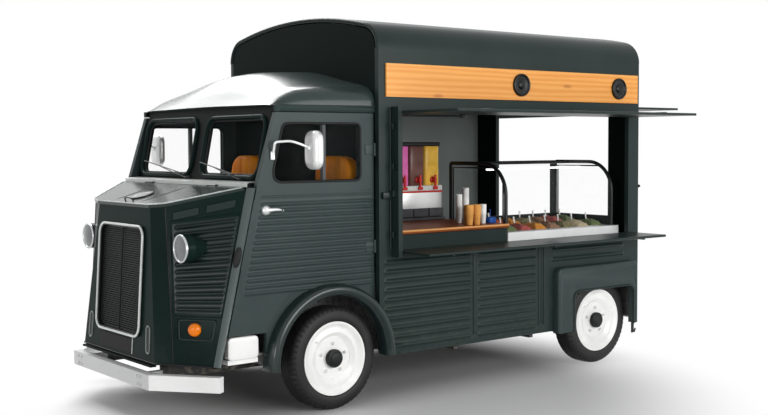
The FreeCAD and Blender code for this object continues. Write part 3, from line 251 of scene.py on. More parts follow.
def drawn_in(outline, steps, lay):
    """Rings of a rounded edge: the outline moved inwards by a step's first value, laid out at its second."""
    return np.array([lay(inset(outline, inwards), level) for inwards, level in steps])


def block(shape, low, high, r=0.004, edge=None, axis=2):
    """Rounded block: a rounded rectangle carried along an axis, its ends drawn in along a quarter circle."""
    low, high = np.minimum(low, high), np.maximum(low, high)
    order = [(1, 2, 0), (2, 0, 1), (0, 1, 2)][axis]
    size = (high - low)[list(order)]
    middle = ((low + high) / 2)[list(order)]
    edge = r if edge is None else edge
    edge = min(edge, size[2] / 2 - 1e-5, size[0] / 2 - 1e-5, size[1] / 2 - 1e-5)
    base = rounded_outline(size[0], size[1], max(r, edge + 1e-5), 5)
    t = np.linspace(0, math.pi / 2, 4)
    rings = []
    for end, angles in ((-1, t), (1, t[::-1])):
        for a in angles:
            ring = inset(base, edge * (1 - math.sin(a)))
            z = end * (size[2] / 2 - edge + edge * math.cos(a))
            rings.append(in_plane(ring, 2, z))
    local = np.array(rings) + middle
    points = np.empty_like(local)
    for k, o in enumerate(order):
        points[..., o] = local[..., k]
    return shape.rings(points)


# ------------------------------------------------------------------ finishes

class Value:
    """A shader socket that works in Python expressions; numbers alone are worked out by Python."""

    def __init__(self, finish, socket):
        self.finish = finish
        self.socket = socket

    def math(self, operation, first, second):
        return self.finish.add("ShaderNodeMath", {"operation": operation}, {0: first, 1: second})

    def __add__(self, other):
        return self.math("ADD", self, other)

    def __radd__(self, other):
        return self.math("ADD", other, self)

    def __sub__(self, other):
        return self.math("SUBTRACT", self, other)

    def __rsub__(self, other):
        return self.math("SUBTRACT", other, self)

    def __mul__(self, other):
        return self.math("MULTIPLY", self, other)

    def __rmul__(self, other):
        return self.math("MULTIPLY", other, self)

    def __pow__(self, other):
        return self.math("POWER", self, other)

    def between(self, low, high):
        """Smooth step from 0 at low to 1 at high."""
        return self.finish.add("ShaderNodeMapRange", {"interpolation_type": "SMOOTHSTEP"},
                               {"Value": self, "From Min": low, "From Max": high})


class Finish:
    """One material, built up from nodes."""

    def __init__(self, name, **fixed):
        self.material = bpy.data.materials.new(name)
        self.material.use_nodes = True
        self.tree = self.material.node_tree
        self.shader = self.tree.nodes["Principled BSDF"]
        for socket, value in fixed.items():
            self.set(socket.replace("_", " "), value)

    def add(self, kind, settings=None, sockets=None, out=0):
        """Adds a node: its settings first (stops for a ramp), then its sockets' values or links."""
        node = self.tree.nodes.new(kind)
        for key, value in (settings or {}).items():
            if key == "stops":
                ramp = node.color_ramp
                while len(ramp.elements) < len(value):
                    ramp.elements.new(0.5)
                for element, (place, colour) in zip(ramp.elements, value):
                    element.position = place
                    element.color = (*colour, 1)
            else:
                setattr(node, key, value)
        for key, value in (sockets or {}).items():
            if isinstance(value, Value):
                self.tree.links.new(value.socket, node.inputs[key])
            else:
                node.inputs[key].default_value = value
        return Value(self, node.outputs[out])

    def set(self, socket, value):
        """Feeds one socket of the surface shader."""
        target = self.shader.inputs[socket]
        if isinstance(value, Value):
            self.tree.links.new(value.socket, target)
        else:
            target.default_value = (*value, 1) if isinstance(value, tuple) and len(value) == 3 else value
        return self

    def place(self, stretch=(1, 1, 1)):
        """Place on the piece, in metres, stretched along the axes."""
        where = self.add("ShaderNodeTexCoord", out=3)
        return self.add("ShaderNodeMapping", None, {"Vector": where, "Scale": stretch})

    def axis(self, index, place):
        return self.add("ShaderNodeSeparateXYZ", None, {0: place}, out=index)

    def noise(self, place, scale, detail=3.0, rough=0.55):
        return self.add("ShaderNodeTexNoise", None,
                        {"Vector": place, "Scale": scale, "Detail": detail, "Roughness": rough})

    def ramp(self, value, stops):
        return self.add("ShaderNodeValToRGB", {"stops": stops}, {"Fac": value})

    def mix(self, share, first, second):
        """Colour first where share is 0, second where it is 1."""
        node = self.tree.nodes.new("ShaderNodeMix")
        node.data_type = "RGBA"
        for key, value in ((0, share), (6, first), (7, second)):
            if isinstance(value, Value):
                self.tree.links.new(value.socket, node.inputs[key])
            else:
                node.inputs[key].default_value = (*value, 1) if isinstance(value, tuple) else value
        return Value(self, node.outputs[2])

    def bump(self, height, strength, distance):
        return self.set("Normal", self.add("ShaderNodeBump", None,
                                           {"Strength": strength, "Distance": distance, "Height": height}))


def rgb(r, g, b):
    """Linear colour from its 0-255 display values."""
    return tuple(((c / 255 + 0.055) / 1.055) ** 2.4 if c > 10 else c / 255 / 12.92 for c in (r, g, b))


def enamel(name, colour, rough, coat, dirt=0.5, peel=0.05, gloss=0.5, middle=None):
    """Sprayed enamel: faint sag, thin road dust that thickens towards the ground.

    middle = (half width, colour) gives another colour to what lies nearer the truck's middle plane; it serves
    as painted shade on front faces that the lamps light less.
    """
    f = Finish(name, Coat_Roughness=0.06, Coat_Weight=coat, IOR=1.5, Specular_IOR_Level=gloss)
    place = f.place()
    cloud = f.noise(place, 1.7, 4)
    fine = f.noise(place, 26, 4, 0.6)
    sag = f.noise(f.place((60, 60, 14)), 1.0, 2)
    low = 1 - f.axis(2, place).between(0.2, 0.95)
    dust = (low * 0.75 + 0.08) * fine.between(0.42, 0.72) * dirt
    streak = f.noise(f.place((22, 22, 0.9)), 1.0, 3).between(0.5, 0.8) * 0.1 * dirt
    shade_low = tuple(c * 0.9 for c in colour)
    shade_high = tuple(min(1, c * 1.08) for c in colour)
    paint = f.mix(cloud.between(0.3, 0.7), shade_low, shade_high)
    # painted shade: a darker colour near the middle plane stands in for the dimmer light on the front faces
    if middle:
        half, inner = middle
        y = f.axis(1, place) - float(ORIGIN[1])
        paint = f.mix((y * y).between(half ** 2 - 0.002, half ** 2 + 0.002), inner, paint)
    f.set("Base Color", f.mix(dust + streak, paint, rgb(112, 106, 96)))
    f.set("Roughness", rough + dust * 0.5 + fine * min(0.06, peel * 6))
    return f.bump(sag + fine * 0.3, peel, 0.002).material


def lacquered_wood(name, pale, dark, knot, coat=0.35):
    """Lacquered softwood: grain in long bands along X, with darker late wood and small knots."""
    f = Finish(name, Coat_Weight=coat, Coat_Roughness=0.18, IOR=1.45, Specular_IOR_Level=coat + 0.1)
    place = f.place((0.9, 9, 9))
    warp = f.noise(place, 1.6, 3)
    grain = f.add("ShaderNodeTexWave", {"wave_type": "BANDS", "bands_direction": "Z"},
                  {"Vector": f.place((0.35, 5, 5)), "Scale": 1.6, "Distortion": 5.5, "Detail": 3.0,
                   "Detail Scale": 1.1})
    pores = f.noise(f.place((6, 260, 260)), 1.0, 3)
    spots = f.add("ShaderNodeTexVoronoi", {"feature": "F1"}, {"Vector": f.place((2.2, 8, 8)), "Scale": 1.0})
    spot = 1 - spots.between(0.05, 0.16)
    tone = f.mix(grain * 0.55 + warp * 0.45, pale, dark)
    tone = f.mix(pores.between(0.5, 0.75) * 0.3, tone, dark)
    f.set("Base Color", f.mix(spot * 0.6, tone, knot))
    f.set("Roughness", 0.34 + pores * 0.18)
    return f.bump(grain * 0.5 + pores, 0.12, 0.0006).material


def worn_rubber(name):
    """Tyre rubber: fine grain, with patches of grey dust."""
    f = Finish(name, IOR=1.5, Specular_IOR_Level=0.35)
    place = f.place()
    fine = f.noise(place, 220, 3)
    cloud = f.noise(place, 9, 4)
    dusty = cloud.between(0.4, 0.75) * 0.05
    f.set("Base Color", f.mix(dusty, (0.007, 0.007, 0.0074), rgb(96, 91, 84)))
    f.set("Roughness", 0.48 + fine * 0.2)
    return f.bump(fine, 0.15, 0.0005).material


def moulded(name, colour, rough=0.42, grain=320):
    """Moulded plastic, paper or painted trim, with a fine grain."""
    f = Finish(name, IOR=1.49, Specular_IOR_Level=0.25)
    place = f.place()
    fine = f.noise(place, grain, 2)
    cloud = f.noise(place, 6, 3)
    f.set("Base Color", f.mix(cloud.between(0.35, 0.7), tuple(c * 0.85 for c in colour),
                              tuple(min(1, c * 1.12 + 0.002) for c in colour)))
    f.set("Roughness", rough + fine * 0.12)
    return f.bump(fine, 0.08, 0.0004).material


def metal(name, colour, rough, stretch=(1, 1, 1), lines=0.25, metallic=1.0):
    """Metal with brushing lines: noise stretched along the brushing direction, in roughness and bump."""
    f = Finish(name, Metallic=metallic)
    brushed = f.noise(f.place(tuple(180 / s for s in stretch)), 1.0, 3)
    cloud = f.noise(f.place(), 5, 4)
    f.set("Base Color", f.mix(cloud.between(0.3, 0.75), tuple(c * 0.9 for c in colour), colour))
    f.set("Roughness", rough + brushed * 0.14 + cloud * 0.06)
    return f.bump(brushed, lines, 0.0003).material


def clear_glass(name, tint, alpha):
    """Thin pane: mostly clear, with its reflection; faint dust makes it a little less clear."""
    f = Finish(name, IOR=1.5, Specular_IOR_Level=0.35, Base_Color=tint)
    dust = f.noise(f.place(), 14, 4).between(0.45, 0.8)
    f.set("Roughness", 0.02 + dust * 0.04)
    f.set("Alpha", alpha + dust * 0.008)
    return f.material


def lens(name, colour, glow):
    """Ribbed lamp lens over a bright reflector."""
    f = Finish(name, IOR=1.5, Coat_Weight=0.2, Coat_Roughness=0.05, Specular_IOR_Level=0.25)
    place = f.place()
    ribs = f.add("ShaderNodeTexWave", {"wave_type": "BANDS", "bands_direction": "Y"},
                 {"Vector": place, "Scale": 34.0, "Distortion": 0.0})
    cell = f.noise(place, 60, 2)
    f.set("Base Color", f.mix(ribs * 0.6 + cell * 0.4, tuple(c * 0.6 for c in colour), colour))
    f.set("Roughness", 0.12 + cell * 0.1)
    f.set("Emission Color", colour)
    f.set("Emission Strength", glow)
    return f.bump(ribs, 0.3, 0.001).material


def upholstery(name, colour, dark):
    """Leathercloth: cell-like grain, cloudy patches a little darker, a faint gloss."""
    f = Finish(name, IOR=1.48, Specular_IOR_Level=0.12)
    place = f.place()
    cells = f.add("ShaderNodeTexVoronoi", {"feature": "DISTANCE_TO_EDGE"}, {"Vector": place, "Scale": 420.0})
    cloud = f.noise(place, 7, 4)
    f.set("Base Color", f.mix(cloud.between(0.35, 0.75), dark, colour))
    f.set("Roughness", 0.42 + cloud * 0.15 - cells * 0.3)
    return f.bump(cells.between(0.0, 0.06), 0.25, 0.0006).material


def mottled(name, first, second, scale):
    """Food in a pan: two colours in lumps, with a lumpy surface."""
    f = Finish(name, IOR=1.4)
    place = f.place()
    lumps = f.add("ShaderNodeTexVoronoi", {"feature": "F1"}, {"Vector": place, "Scale": scale})
    blend = f.noise(place, scale * 0.8, 3)
    f.set("Base Color", f.mix(blend.between(0.42, 0.6), first, second))
    f.set("Roughness", 0.5 + lumps * 0.2)
    return f.bump(1 - lumps, 0.5, 0.004).material


def ridged_plate(name):
    """Aluminium tread plate: raised squares of a checker, with scuffs."""
    f = Finish(name, Metallic=0.9)
    bars = f.add("ShaderNodeTexChecker", None, {"Vector": f.place(), "Scale": 26.0}, out=1)
    scuffs = f.noise(f.place(), 40, 4)
    f.set("Base Color", f.mix(scuffs.between(0.4, 0.75), rgb(150, 150, 150), rgb(105, 104, 102)))
    f.set("Roughness", 0.38 + scuffs * 0.25)
    return f.bump(bars + scuffs * 0.3, 0.35, 0.001).material


GREEN = enamel("green_enamel", rgb(35, 47, 45), 0.32, 0.0, 0.10, 0.01, 0.16)
FLARE_GREEN = enamel("green_enamel_flares", rgb(32, 45, 43), 0.18, 0.1, 0.05, 0.01, 0.35)
DOOR_GREEN = enamel("green_enamel_doors", rgb(50, 62, 61), 0.32, 0.0, 0.10, 0.01, 0.16)
# painted shade: a darker copy of the body green for the box's front wall, the rear opening's jambs and the
# ledge at the nose's foot, faces that the lamps light less
GREEN_PAINTED_SHADE = enamel("green_enamel_painted_shade", rgb(12, 23, 21), 0.45, 0.0, 0.03, 0.01, 0.03)
# cab: near-black painted shade on the front face around the windscreens, where less light falls
CAB_GREEN_SHADED_FRONT = enamel("green_enamel_cab_shaded_front", rgb(46, 59, 57), 0.4, 0.0, 0.02, 0.01, 0.05, (0.930, rgb(7, 13, 12)))
TRAY = metal("tray_steel", rgb(232, 233, 233), 0.35, metallic=0.3)
CABINET = enamel("cabinet_enamel", rgb(34, 45, 43), 0.45, 0.0, 0.05, 0.01, 0.1)
# bumper: grey painted shade on the front face between the ends; the side-facing ends stay white
BUMPER_SHADED_FRONT = enamel("bumper_white_shaded_front", rgb(250, 250, 249), 0.3, 0.3, 0.02, 0.01, 0.5, (0.596, rgb(196, 197, 197)))
GREEN_GLOSS = enamel("green_enamel_nose", rgb(20, 36, 33), 0.22, 0.0, 0.04, 0.01, 0.035)
GREEN_HOOD = enamel("green_enamel_hood", rgb(30, 44, 41), 0.16, 0.05, 0.04, 0.01, 0.28)
GREEN_RIB = enamel("green_enamel_ribs", rgb(20, 33, 31), 0.30, 0.0, 0.03, 0.01, 0.22)
WHITE = enamel("white_enamel", rgb(240, 240, 238), 0.28, 0.3, 0.02, 0.01)
PALE_STRIP = enamel("post_enamel", rgb(74, 86, 84), 0.32, 0.1, 0.06, 0.01, 0.3)
LINING = enamel("lining_laminate", rgb(112, 119, 117), 0.45, 0.0, 0.05, 0.01, 0.3)
PANEL_WHITE = enamel("cabinet_laminate", rgb(205, 205, 200), 0.4, 0.15, 0.1)
WOOD = lacquered_wood("sign_board_wood", rgb(248, 180, 98), rgb(228, 144, 58), rgb(170, 96, 36), 0.2)
COUNTER_WOOD = lacquered_wood("worktop_wood", rgb(166, 84, 34), rgb(116, 54, 20), rgb(70, 34, 14), 0.05)
EDGE_WOOD = lacquered_wood("worktop_edge_wood", rgb(226, 164, 96), rgb(190, 124, 62), rgb(140, 84, 40))
RUBBER = worn_rubber("tyre_rubber")
SEAL = moulded("window_rubber", rgb(20, 21, 22), 0.5)
BLACK = moulded("black_paint", rgb(18, 19, 20), 0.28)
SOFT_BLACK = moulded("cap_black", rgb(26, 27, 28), 0.45)
GREY_TRIM = moulded("grey_trim", rgb(80, 82, 84), 0.45)
CHASSIS = enamel("chassis_black", rgb(28, 29, 30), 0.55, 0.05, 1.2)
IRON = metal("engine_iron", rgb(110, 108, 104), 0.55, metallic=0.7)
STEEL = metal("brushed_stainless", rgb(205, 206, 204), 0.26, (40, 1, 1))
CHROME = metal("polished_chrome", rgb(226, 228, 230), 0.05, lines=0.02)
PLATE_ALU = ridged_plate("floor_tread_plate")
GLASS = clear_glass("window_glass", rgb(70, 84, 82), 0.012)
CASE_GLASS = clear_glass("case_glass", rgb(130, 142, 140), 0.02)
MIRROR_GLASS = metal("mirror_glass", rgb(200, 205, 210), 0.02, lines=0.0)
AMBER = lens("amber_lens", rgb(240, 124, 0), 0.16)
RED = lens("red_lens", rgb(170, 16, 12), 0.03)
CLEAR_LENS = lens("headlamp_lens", rgb(136, 139, 140), 0.0)
TUBE_LIGHT = Finish("tube_light", Base_Color=rgb(255, 255, 255), Roughness=0.4,
                    Emission_Color=rgb(255, 255, 255),
                    Emission_Strength=1.6).material
WHITE_WHEEL = enamel("wheel_white", rgb(243, 243, 241), 0.3, 0.3, 0.04, 0.01)
SEAT_HIDE = upholstery("seat_leathercloth", rgb(255, 160, 8), rgb(232, 130, 4))


# ------------------------------------------------------------------ pressed ribs of the panels

def rib_heights(a, b, ribs, half, proud):
    """Height of pressed ribs: proud (1 + cos(pi d / half)) / 2 at a distance d from a rib's centre line."""
    height = np.zeros_like(a)
    for a0, a1, centre in ribs:
        d = np.hypot(np.maximum(np.maximum(a - a1, a0 - a), 0), b - centre)
        height = np.maximum(height, proud * 0.5 * (1 + np.cos(math.pi * np.clip(d / half, 0, 1))))
    return height


SHEET_T = 0.0012


def ribbed_sheet(shape, place, a_range, b_range, ribs, half, proud):
    """Sheet over a rectangle (a, b) of a wall, its border falling back: point = place(a, b, height)."""
    steps = np.array([-1, -0.75, -0.5, -0.25, 0, 0.25, 0.5, 0.75, 1.0])
    ends = {round(e, 6) for rib in ribs for e in rib[:2]}
    a_lines = [np.array(a_range)] + [e + steps * half for e in ends] + [np.linspace(*a_range, 9)]
    b_lines = [np.array(b_range)] + [rib[2] + steps * half for rib in ribs]
    a = np.unique(np.round(np.concatenate(a_lines), 5))
    b = np.unique(np.round(np.concatenate(b_lines), 5))
    a = a[(a >= min(a_range)) & (a <= max(a_range))]
    b = b[(b >= min(b_range)) & (b <= max(b_range))]
    aa, bb = np.meshgrid(a, b, indexing="ij")
    h = rib_heights(aa, bb, ribs, half, proud) + SHEET_T
    aa = np.pad(aa, 1, mode="edge")
    bb = np.pad(bb, 1, mode="edge")
    h = np.pad(h, 1)
    points = place(aa, bb, h)
    out = place(aa[:1, :1], bb[:1, :1], h[:1, :1] + 1)[0, 0] - place(aa[:1, :1], bb[:1, :1], h[:1, :1])[0, 0]
    mid = points.shape[0] // 2
    du = points[mid + 1, 1] - points[mid, 1]
    dv = points[mid, 2] - points[mid, 1]
    return shape.grid(points, flip=float(np.dot(np.cross(du, dv), out)) < 0)


def on_side(side, level):
    """Places (a, b, height) on a wall in the X-Z plane: (a, side (level + height), b)."""
    def place(a, b, h):
        return np.stack([a, side * (level + h), b], -1)
    return place


ARCH_X, ARCH_R = 0.04, 0.515        # middle of the round fender ahead of the axle, and where panels end
PANEL_FRONT = -0.356


def before_arch(side, level):
    """As on_side, with the sheet's front edge drawn back to the round fender."""
    def place(a, b, h):
        reach = ARCH_X - np.sqrt(np.maximum(ARCH_R ** 2 - (b - TYRE_R) ** 2, 0))
        edge = np.where(b < TYRE_R + ARCH_R, np.minimum(PANEL_FRONT, reach), PANEL_FRONT)
        return np.stack([np.minimum(a, edge), side * (level + h), b], -1)
    return place


SIDE_PITCH = 0.0666
SIDE_RIBS_Z = [1.000 - SIDE_PITCH * k for k in range(10)]
SIDE_HALF, SIDE_PROUD = 0.0225, 0.0125


def lower_side_panels():
    """Ribbed panels below the serving sill, with a post between them and a slot before the wheel."""
    for side, name, spans in ((1, "left", ((-1.232, -0.395), (-1.926, -1.293))),
                              (-1, "right", ((-1.232, -0.395),))):
        s = Shape()
        for k, (rear, front) in enumerate(spans):
            ribs = [(rear + 0.03, front - 0.018, z) for z in SIDE_RIBS_Z]
            place = before_arch(side, BOX_SIDE) if k == 0 else on_side(side, BOX_SIDE)
            ribbed_sheet(s, place, (rear - 0.012, front + (0.04 if k == 0 else 0.012)), (0.366, 1.048), ribs,
                         SIDE_HALF, SIDE_PROUD)
        rear_span = (-2.975, -2.075)
        ribs = [(rear_span[0] + 0.03, rear_span[1] - 0.03, z) for z in (0.985, 0.913)]
        ribbed_sheet(s, on_side(side, BOX_SIDE), rear_span, (0.872, 1.035), ribs, SIDE_HALF, SIDE_PROUD)
        make("ribbed_panels_" + name, s, "body", GREEN, "body_green", 60, recalc=False)
        t = Shape()
        posts = [(-1.283, -1.241, 0.405, 1.05, 0.007), (-0.52, -2.02, 0.337, 0.352, 0.005)]
        if side > 0:
            posts += [(-1.955, -1.938, 0.405, 1.05, 0.006), (-2.012, -1.995, 0.405, 1.05, 0.006),
                      (-0.47, -3.13, 1.052, 1.066, 0.004)]
        else:
            posts += [(-0.47, -1.385, 1.052, 1.066, 0.004), (-2.055, -3.13, 1.052, 1.066, 0.004)]
        for x0, x1, z0, z1, out in posts:
            block(t, (x0, side * 0.998, z0), (x1, side * (BOX_SIDE + out), z1), 0.002, axis=2)
        make("panel_posts_" + name, t, "body", GREEN, "body_green")
    s = Shape()
    block(s, (-1.981, 0.9985, 0.415), (-1.968, 1.0012, 1.02), 0.001)
    make("panel_slot", s, "body", BLACK, "black_trim")


def upper_right_ribs():
    """Ribbed panels on the blind side, on both sides of the staff door."""
    s = Shape()
    rows = [1.13 + SIDE_PITCH * k for k in range(14)]
    for rear, front in ((-1.232, -0.395), (-3.105, -2.085)):
        ribs = [(rear + 0.03, front - 0.03, z) for z in rows]
        ribbed_sheet(s, on_side(-1, BOX_SIDE), (rear, front), (1.085, 2.05), ribs, SIDE_HALF, SIDE_PROUD)
    make("ribbed_panels_blind_side", s, "body", GREEN, "body_green", 60, recalc=False)
    t = Shape()
    ribs = [(-2.00, -1.44, 0.47 + SIDE_PITCH * k) for k in range(9)]
    ribbed_sheet(t, on_side(-1, BOX_SIDE), (-2.025, -1.415), (0.43, 1.02), ribs, SIDE_HALF, SIDE_PROUD)
    make("staff_door_ribs", t, "staff_door", GREEN, "body_green", 60, recalc=False)


def door_front(z):
    """Front edge of the door below its window, which slants along the post."""
    return 0.640 + (1.5 - z) * 0.237


DOOR_PITCH, DOOR_HALF, DOOR_PROUD = 0.0412, 0.0165, 0.0095


def door_ribs():
    """Close ribs over the door's lower half, cut off along the slanting post."""
    rows = [1.446 - DOOR_PITCH * k for k in range(15)]
    for side, name in SIDES:
        s = Shape()
        def place(a, b, h):
            return np.stack([np.minimum(a, door_front(b)), side * (DOOR_SIDE + h), b], -1)
        ribs = [(-0.315, door_front(z) - 0.070, z) for z in rows]
        ribbed_sheet(s, place, (-0.332, 0.75), (0.845, 1.478), ribs, DOOR_HALF, DOOR_PROUD)
        make("door_ribs_" + name, s, "door_" + name, DOOR_GREEN, "body_green", 60, recalc=False)


NOSE_FOOT = np.array([(1.085, 0.655, 0.400), (0.938, 0.905, 0.400)])      # corner seam, post
NOSE_HEAD = np.array([(1.070, 0.540, 1.4349), (0.672, 0.897, 1.5411)])


def nose_side(side):
    """Points of the nose's ruled side, from the corner seam (s = 0) to the post (s = 1)."""
    def place(s, z, h):
        share = s[..., None]
        low = NOSE_FOOT[0] + (NOSE_FOOT[1] - NOSE_FOOT[0]) * share
        high = NOSE_HEAD[0] + (NOSE_HEAD[1] - NOSE_HEAD[0]) * share
        t = ((z - NOSE_FOOT[0, 2]) / (high[..., 2] - NOSE_FOOT[0, 2]))[..., None]
        point = low * (1 - t) + high * t
        along = (NOSE_FOOT[1] - NOSE_FOOT[0]) * (1 - t) + (NOSE_HEAD[1] - NOSE_HEAD[0]) * t
        out = unit(np.cross(high - low, along))
        out = np.where(out[..., 1:2] < 0, -out, out)
        point = point + out * h[..., None]
        return point * [1, side, 1]
    return place


LOUVRES = 12
LOUVRE_SPAN, LOUVRE_RISE = 0.53, 0.59       # metres along and up the nose's side for its places from 0 to 1
LOUVRE_FOOT, LOUVRE_HEAD = 0.745, 1.318
LOUVRE_HALF, LOUVRE_PROUD = 0.0165, 0.0150
SIDE_UP = (0.3, 0.9, 0.2)           # a direction out of the nose's side, for the beads on it


def nose_louvres():
    """Louvres in each nose side, fanned between a level foot and a rising head, in a raised frame."""
    for side, name in SIDES:
        flat = nose_side(side)

        def fanned(s, f, h):
            head = LOUVRE_HEAD + 0.055 * (s - 0.08) / 0.9
            return flat(s, LOUVRE_FOOT + f * (head - LOUVRE_FOOT), h)

        def stretched(a, b, h):
            return fanned(a / LOUVRE_SPAN, b / LOUVRE_RISE, h)
        shape = Shape()
        ribs = [(0.13 * LOUVRE_SPAN, 0.93 * LOUVRE_SPAN, (k + 0.5) / LOUVRES * LOUVRE_RISE)
                for k in range(LOUVRES)]
        span = (0.08 * LOUVRE_SPAN, 0.975 * LOUVRE_SPAN)
        ribbed_sheet(shape, stretched, span, (0.0, LOUVRE_RISE), ribs, LOUVRE_HALF, LOUVRE_PROUD)
        make("nose_louvres_" + name, shape, "body", GREEN_RIB, "body_green", 60, recalc=False)
        frame_shape = Shape()
        corners = [(0.055, -0.035), (0.985, -0.035), (0.985, 1.035), (0.055, 1.035)]
        loop = rounded_loop(corners, 0.02, 6)
        path = fanned(loop[:, 0], loop[:, 1], np.full(len(loop), 0.001))
        rod(frame_shape, path, 0.0045, 8, closed=True, up=SIDE_UP)
        box_loop = rounded_loop([(0.10, 0.575), (0.86, 0.575), (0.90, 0.705), (0.10, 0.705)], 0.012, 4)
        path = flat(box_loop[:, 0], box_loop[:, 1], np.full(len(box_loop), 0.001))
        rod(frame_shape, path, 0.004, 8, closed=True, up=SIDE_UP)
        make("nose_side_beads_" + name, frame_shape, "body", GREEN_GLOSS, "body_green", 60)


def rounded_loop(corners, r, n):
    """Closed line through the corners, each turned by a quadratic arc from r before it to r after it."""
    corners = np.asarray(corners, float)
    before, after = np.roll(corners, 1, 0), np.roll(corners, -1, 0)
    start = corners + unit(before - corners) * r
    end = corners + unit(after - corners) * r
    t = np.linspace(0, 1, n)[:, None, None]
    arcs = start * (1 - t) ** 2 + 2 * corners * t * (1 - t) + end * t ** 2
    return arcs.transpose(1, 0, 2).reshape(-1, corners.shape[1])


lower_side_panels()
upper_right_ribs()
door_ribs()
nose_louvres()


# ------------------------------------------------------------------ nose: grille, bonnet edges, lamps

NOSE_EDGE = (1.107, 1.425)          # x, z of the edge between the nose's front and the bonnet
NOSE_LEAN = 0.0634                  # how far the front leans back for each metre of height
NOSE_OUT = (0.998, 0.063)           # x and z of the front's outward direction
HOOD_SLOPE = 0.267
HOOD_OUT = (0.258, 0.966)
HOOD_UP = (0.26, 0, 0.966)


def nose_front(y, z, h):
    """Points on the nose's leaning front plane, raised by h along its outward direction."""
    y, z, h = np.broadcast_arrays(np.asarray(y, float), z, h)
    return np.stack([NOSE_EDGE[0] + (NOSE_EDGE[1] - z) * NOSE_LEAN + h * NOSE_OUT[0], y, z + h * NOSE_OUT[1]],
                    -1)


GRILLE_HALF, GRILLE_LOW, GRILLE_HIGH = 0.34, 0.548, 1.298


def grille_piece():
    """Grille: a rounded pale rim, and fine level bars as waves on a sheet, parted by an upright."""
    middle = (GRILLE_LOW + GRILLE_HIGH) / 2
    height = GRILLE_HIGH - GRILLE_LOW
    s = Shape()
    loop = rounded_outline(2 * GRILLE_HALF - 0.008, height - 0.008, 0.075, 12)
    def lay(ring, h):
        return nose_front(ring[:, 0], ring[:, 1] + middle, h)
    rod(s, lay(loop, 0.016), 0.0085, 12, closed=True, up=(1, 0, NOSE_LEAN))
    make("grille_rim", s, "body", RIM_WHITE, "white_paint", 60)
    back = Shape()
    collar = rounded_outline(2 * GRILLE_HALF, height, 0.078, 12)
    steps = ((0.0, -0.006), (0.0, 0.010), (0.004, 0.0145), (0.014, 0.0145), (0.020, 0.010), (0.020, -0.014))
    back.grid(drawn_in(collar, steps, lay), wrap_v=True)
    back.add(lay(inset(collar, 0.018), -0.012), [list(range(len(collar)))])
    make("grille_surround", back, "body", BLACK, "black_trim", 40)
    bars = Shape()
    count, half, pitch = 46, 0.006, 0.0151
    corner, bar_end = 0.055, 0.316
    for y0, y1 in ((-0.308, -0.008), (0.008, 0.308)):
        centres = middle + (np.arange(count) - (count - 1) / 2) * pitch
        t = np.linspace(-1, 1, 5)
        z = (centres[:, None] + t * half).ravel()
        wave = np.tile(0.0115 * np.sqrt(np.maximum(1 - t ** 2, 0)), count) - 0.0115
        reach = np.abs(z - middle) - (height / 2 - 0.075)
        trim = np.where(reach > 0, corner - np.sqrt(np.maximum(corner ** 2 - reach ** 2, 0)), 0)
        ends = np.stack([np.maximum(y0, -bar_end + trim), np.full_like(z, (y0 + y1) / 2),
                         np.minimum(y1, bar_end - trim)])
        bars.grid(nose_front(ends, z[None], wave[None]))
    make("grille_bars", bars, "body", GRILLE_BAR, "black_trim", 30, recalc=False)
    post = Shape()
    rod(post, nose_front(np.zeros(9), np.linspace(GRILLE_LOW + 0.02, GRILLE_HIGH - 0.02, 9), -0.002), 0.0055,
        10)
    make("grille_upright", post, "body", GRILLE_BAR, "black_trim", 60)
    for piece in ("grille_rim", "grille_surround", "grille_bars", "grille_upright"):
        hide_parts("grille")


SLOT_Y, SLOT_Z, SLOT_LEAN = 0.448, 0.552, 0.06


def nose_front_details():
    """Lower apron with its pale seam, two pill-shaped slots, the lip along the foot and the corner seams."""
    s = Shape()
    outline = rounded_outline(0.50, 0.098, 0.008, 4)
    steps = ((0.0, 0.0), (0.0, 0.003), (0.002, 0.0045))
    s.rings(drawn_in(outline, steps, lambda ring, h: nose_front(ring[:, 0] - 0.035, ring[:, 1] + 0.480, h)))
    make("nose_apron", s, "body", APRON_BROWN, "black_trim")
    s = Shape()
    rod(s, nose_front(np.full(6, 0.222), np.linspace(0.428, 0.536, 6), 0.002), 0.0036, 8)
    make("nose_apron_seam", s, "body", RIM_WHITE, "white_paint", 60)
    for side, name in SIDES:
        rim, slot = Shape(), Shape()
        pill = rounded_outline(0.062, 0.190, 0.0305, 10)

        def lay(ring, h):
            return nose_front(side * (SLOT_Y - ring[:, 1] * SLOT_LEAN) + ring[:, 0], ring[:, 1] + SLOT_Z, h)
        steps = ((0, 0.0), (0, 0.004), (0.003, 0.0065), (0.007, 0.0065), (0.011, 0.003), (0.012, 0.001))
        rim.grid(drawn_in(pill, steps, lay), wrap_v=True)
        make("nose_slot_rim_" + name, rim, "body", SLOT_RIM, "body_green", 50)
        slot.add(lay(inset(pill, 0.010), 0.0012), [list(range(len(pill)))])
        for k in range(9):
            z = -0.07 + 0.0175 * k
            span = np.linspace(-0.019, 0.019, 5)
            rod(slot, nose_front(side * (SLOT_Y - z * SLOT_LEAN) + span, z + SLOT_Z, 0.002), 0.0022, 6)
        make("nose_slot_" + name, slot, "body", BLACK, "black_trim", 40)
    s = Shape()
    foot = np.array([[0.940, 0.909], [1.086, 0.658], [1.174, 0.557], [1.174, -0.557], [1.086, -0.658],
                     [0.940, -0.909]])
    rod(s, in_plane(foot, 2, 0.407), 0.006, 8, up=(0, 0, 1))
    make("nose_foot_lip", s, "body", BLACK, "black_trim", 60)
    s = Shape()
    for side in (1, -1):
        seam = nose_side(side)
        z = np.linspace(0.41, 1.425, 12)
        rod(s, seam(np.zeros(12), z, np.full(12, 0.0008)), 0.0030, 8, up=(1, 0.3, 0))
    make("nose_corner_seams", s, "body", BLACK, "black_trim", 60)


VENT_DROP, VENT_HEIGHT = 0.100, 0.052
VENT_COLUMNS, VENT_ROWS = 49, 15


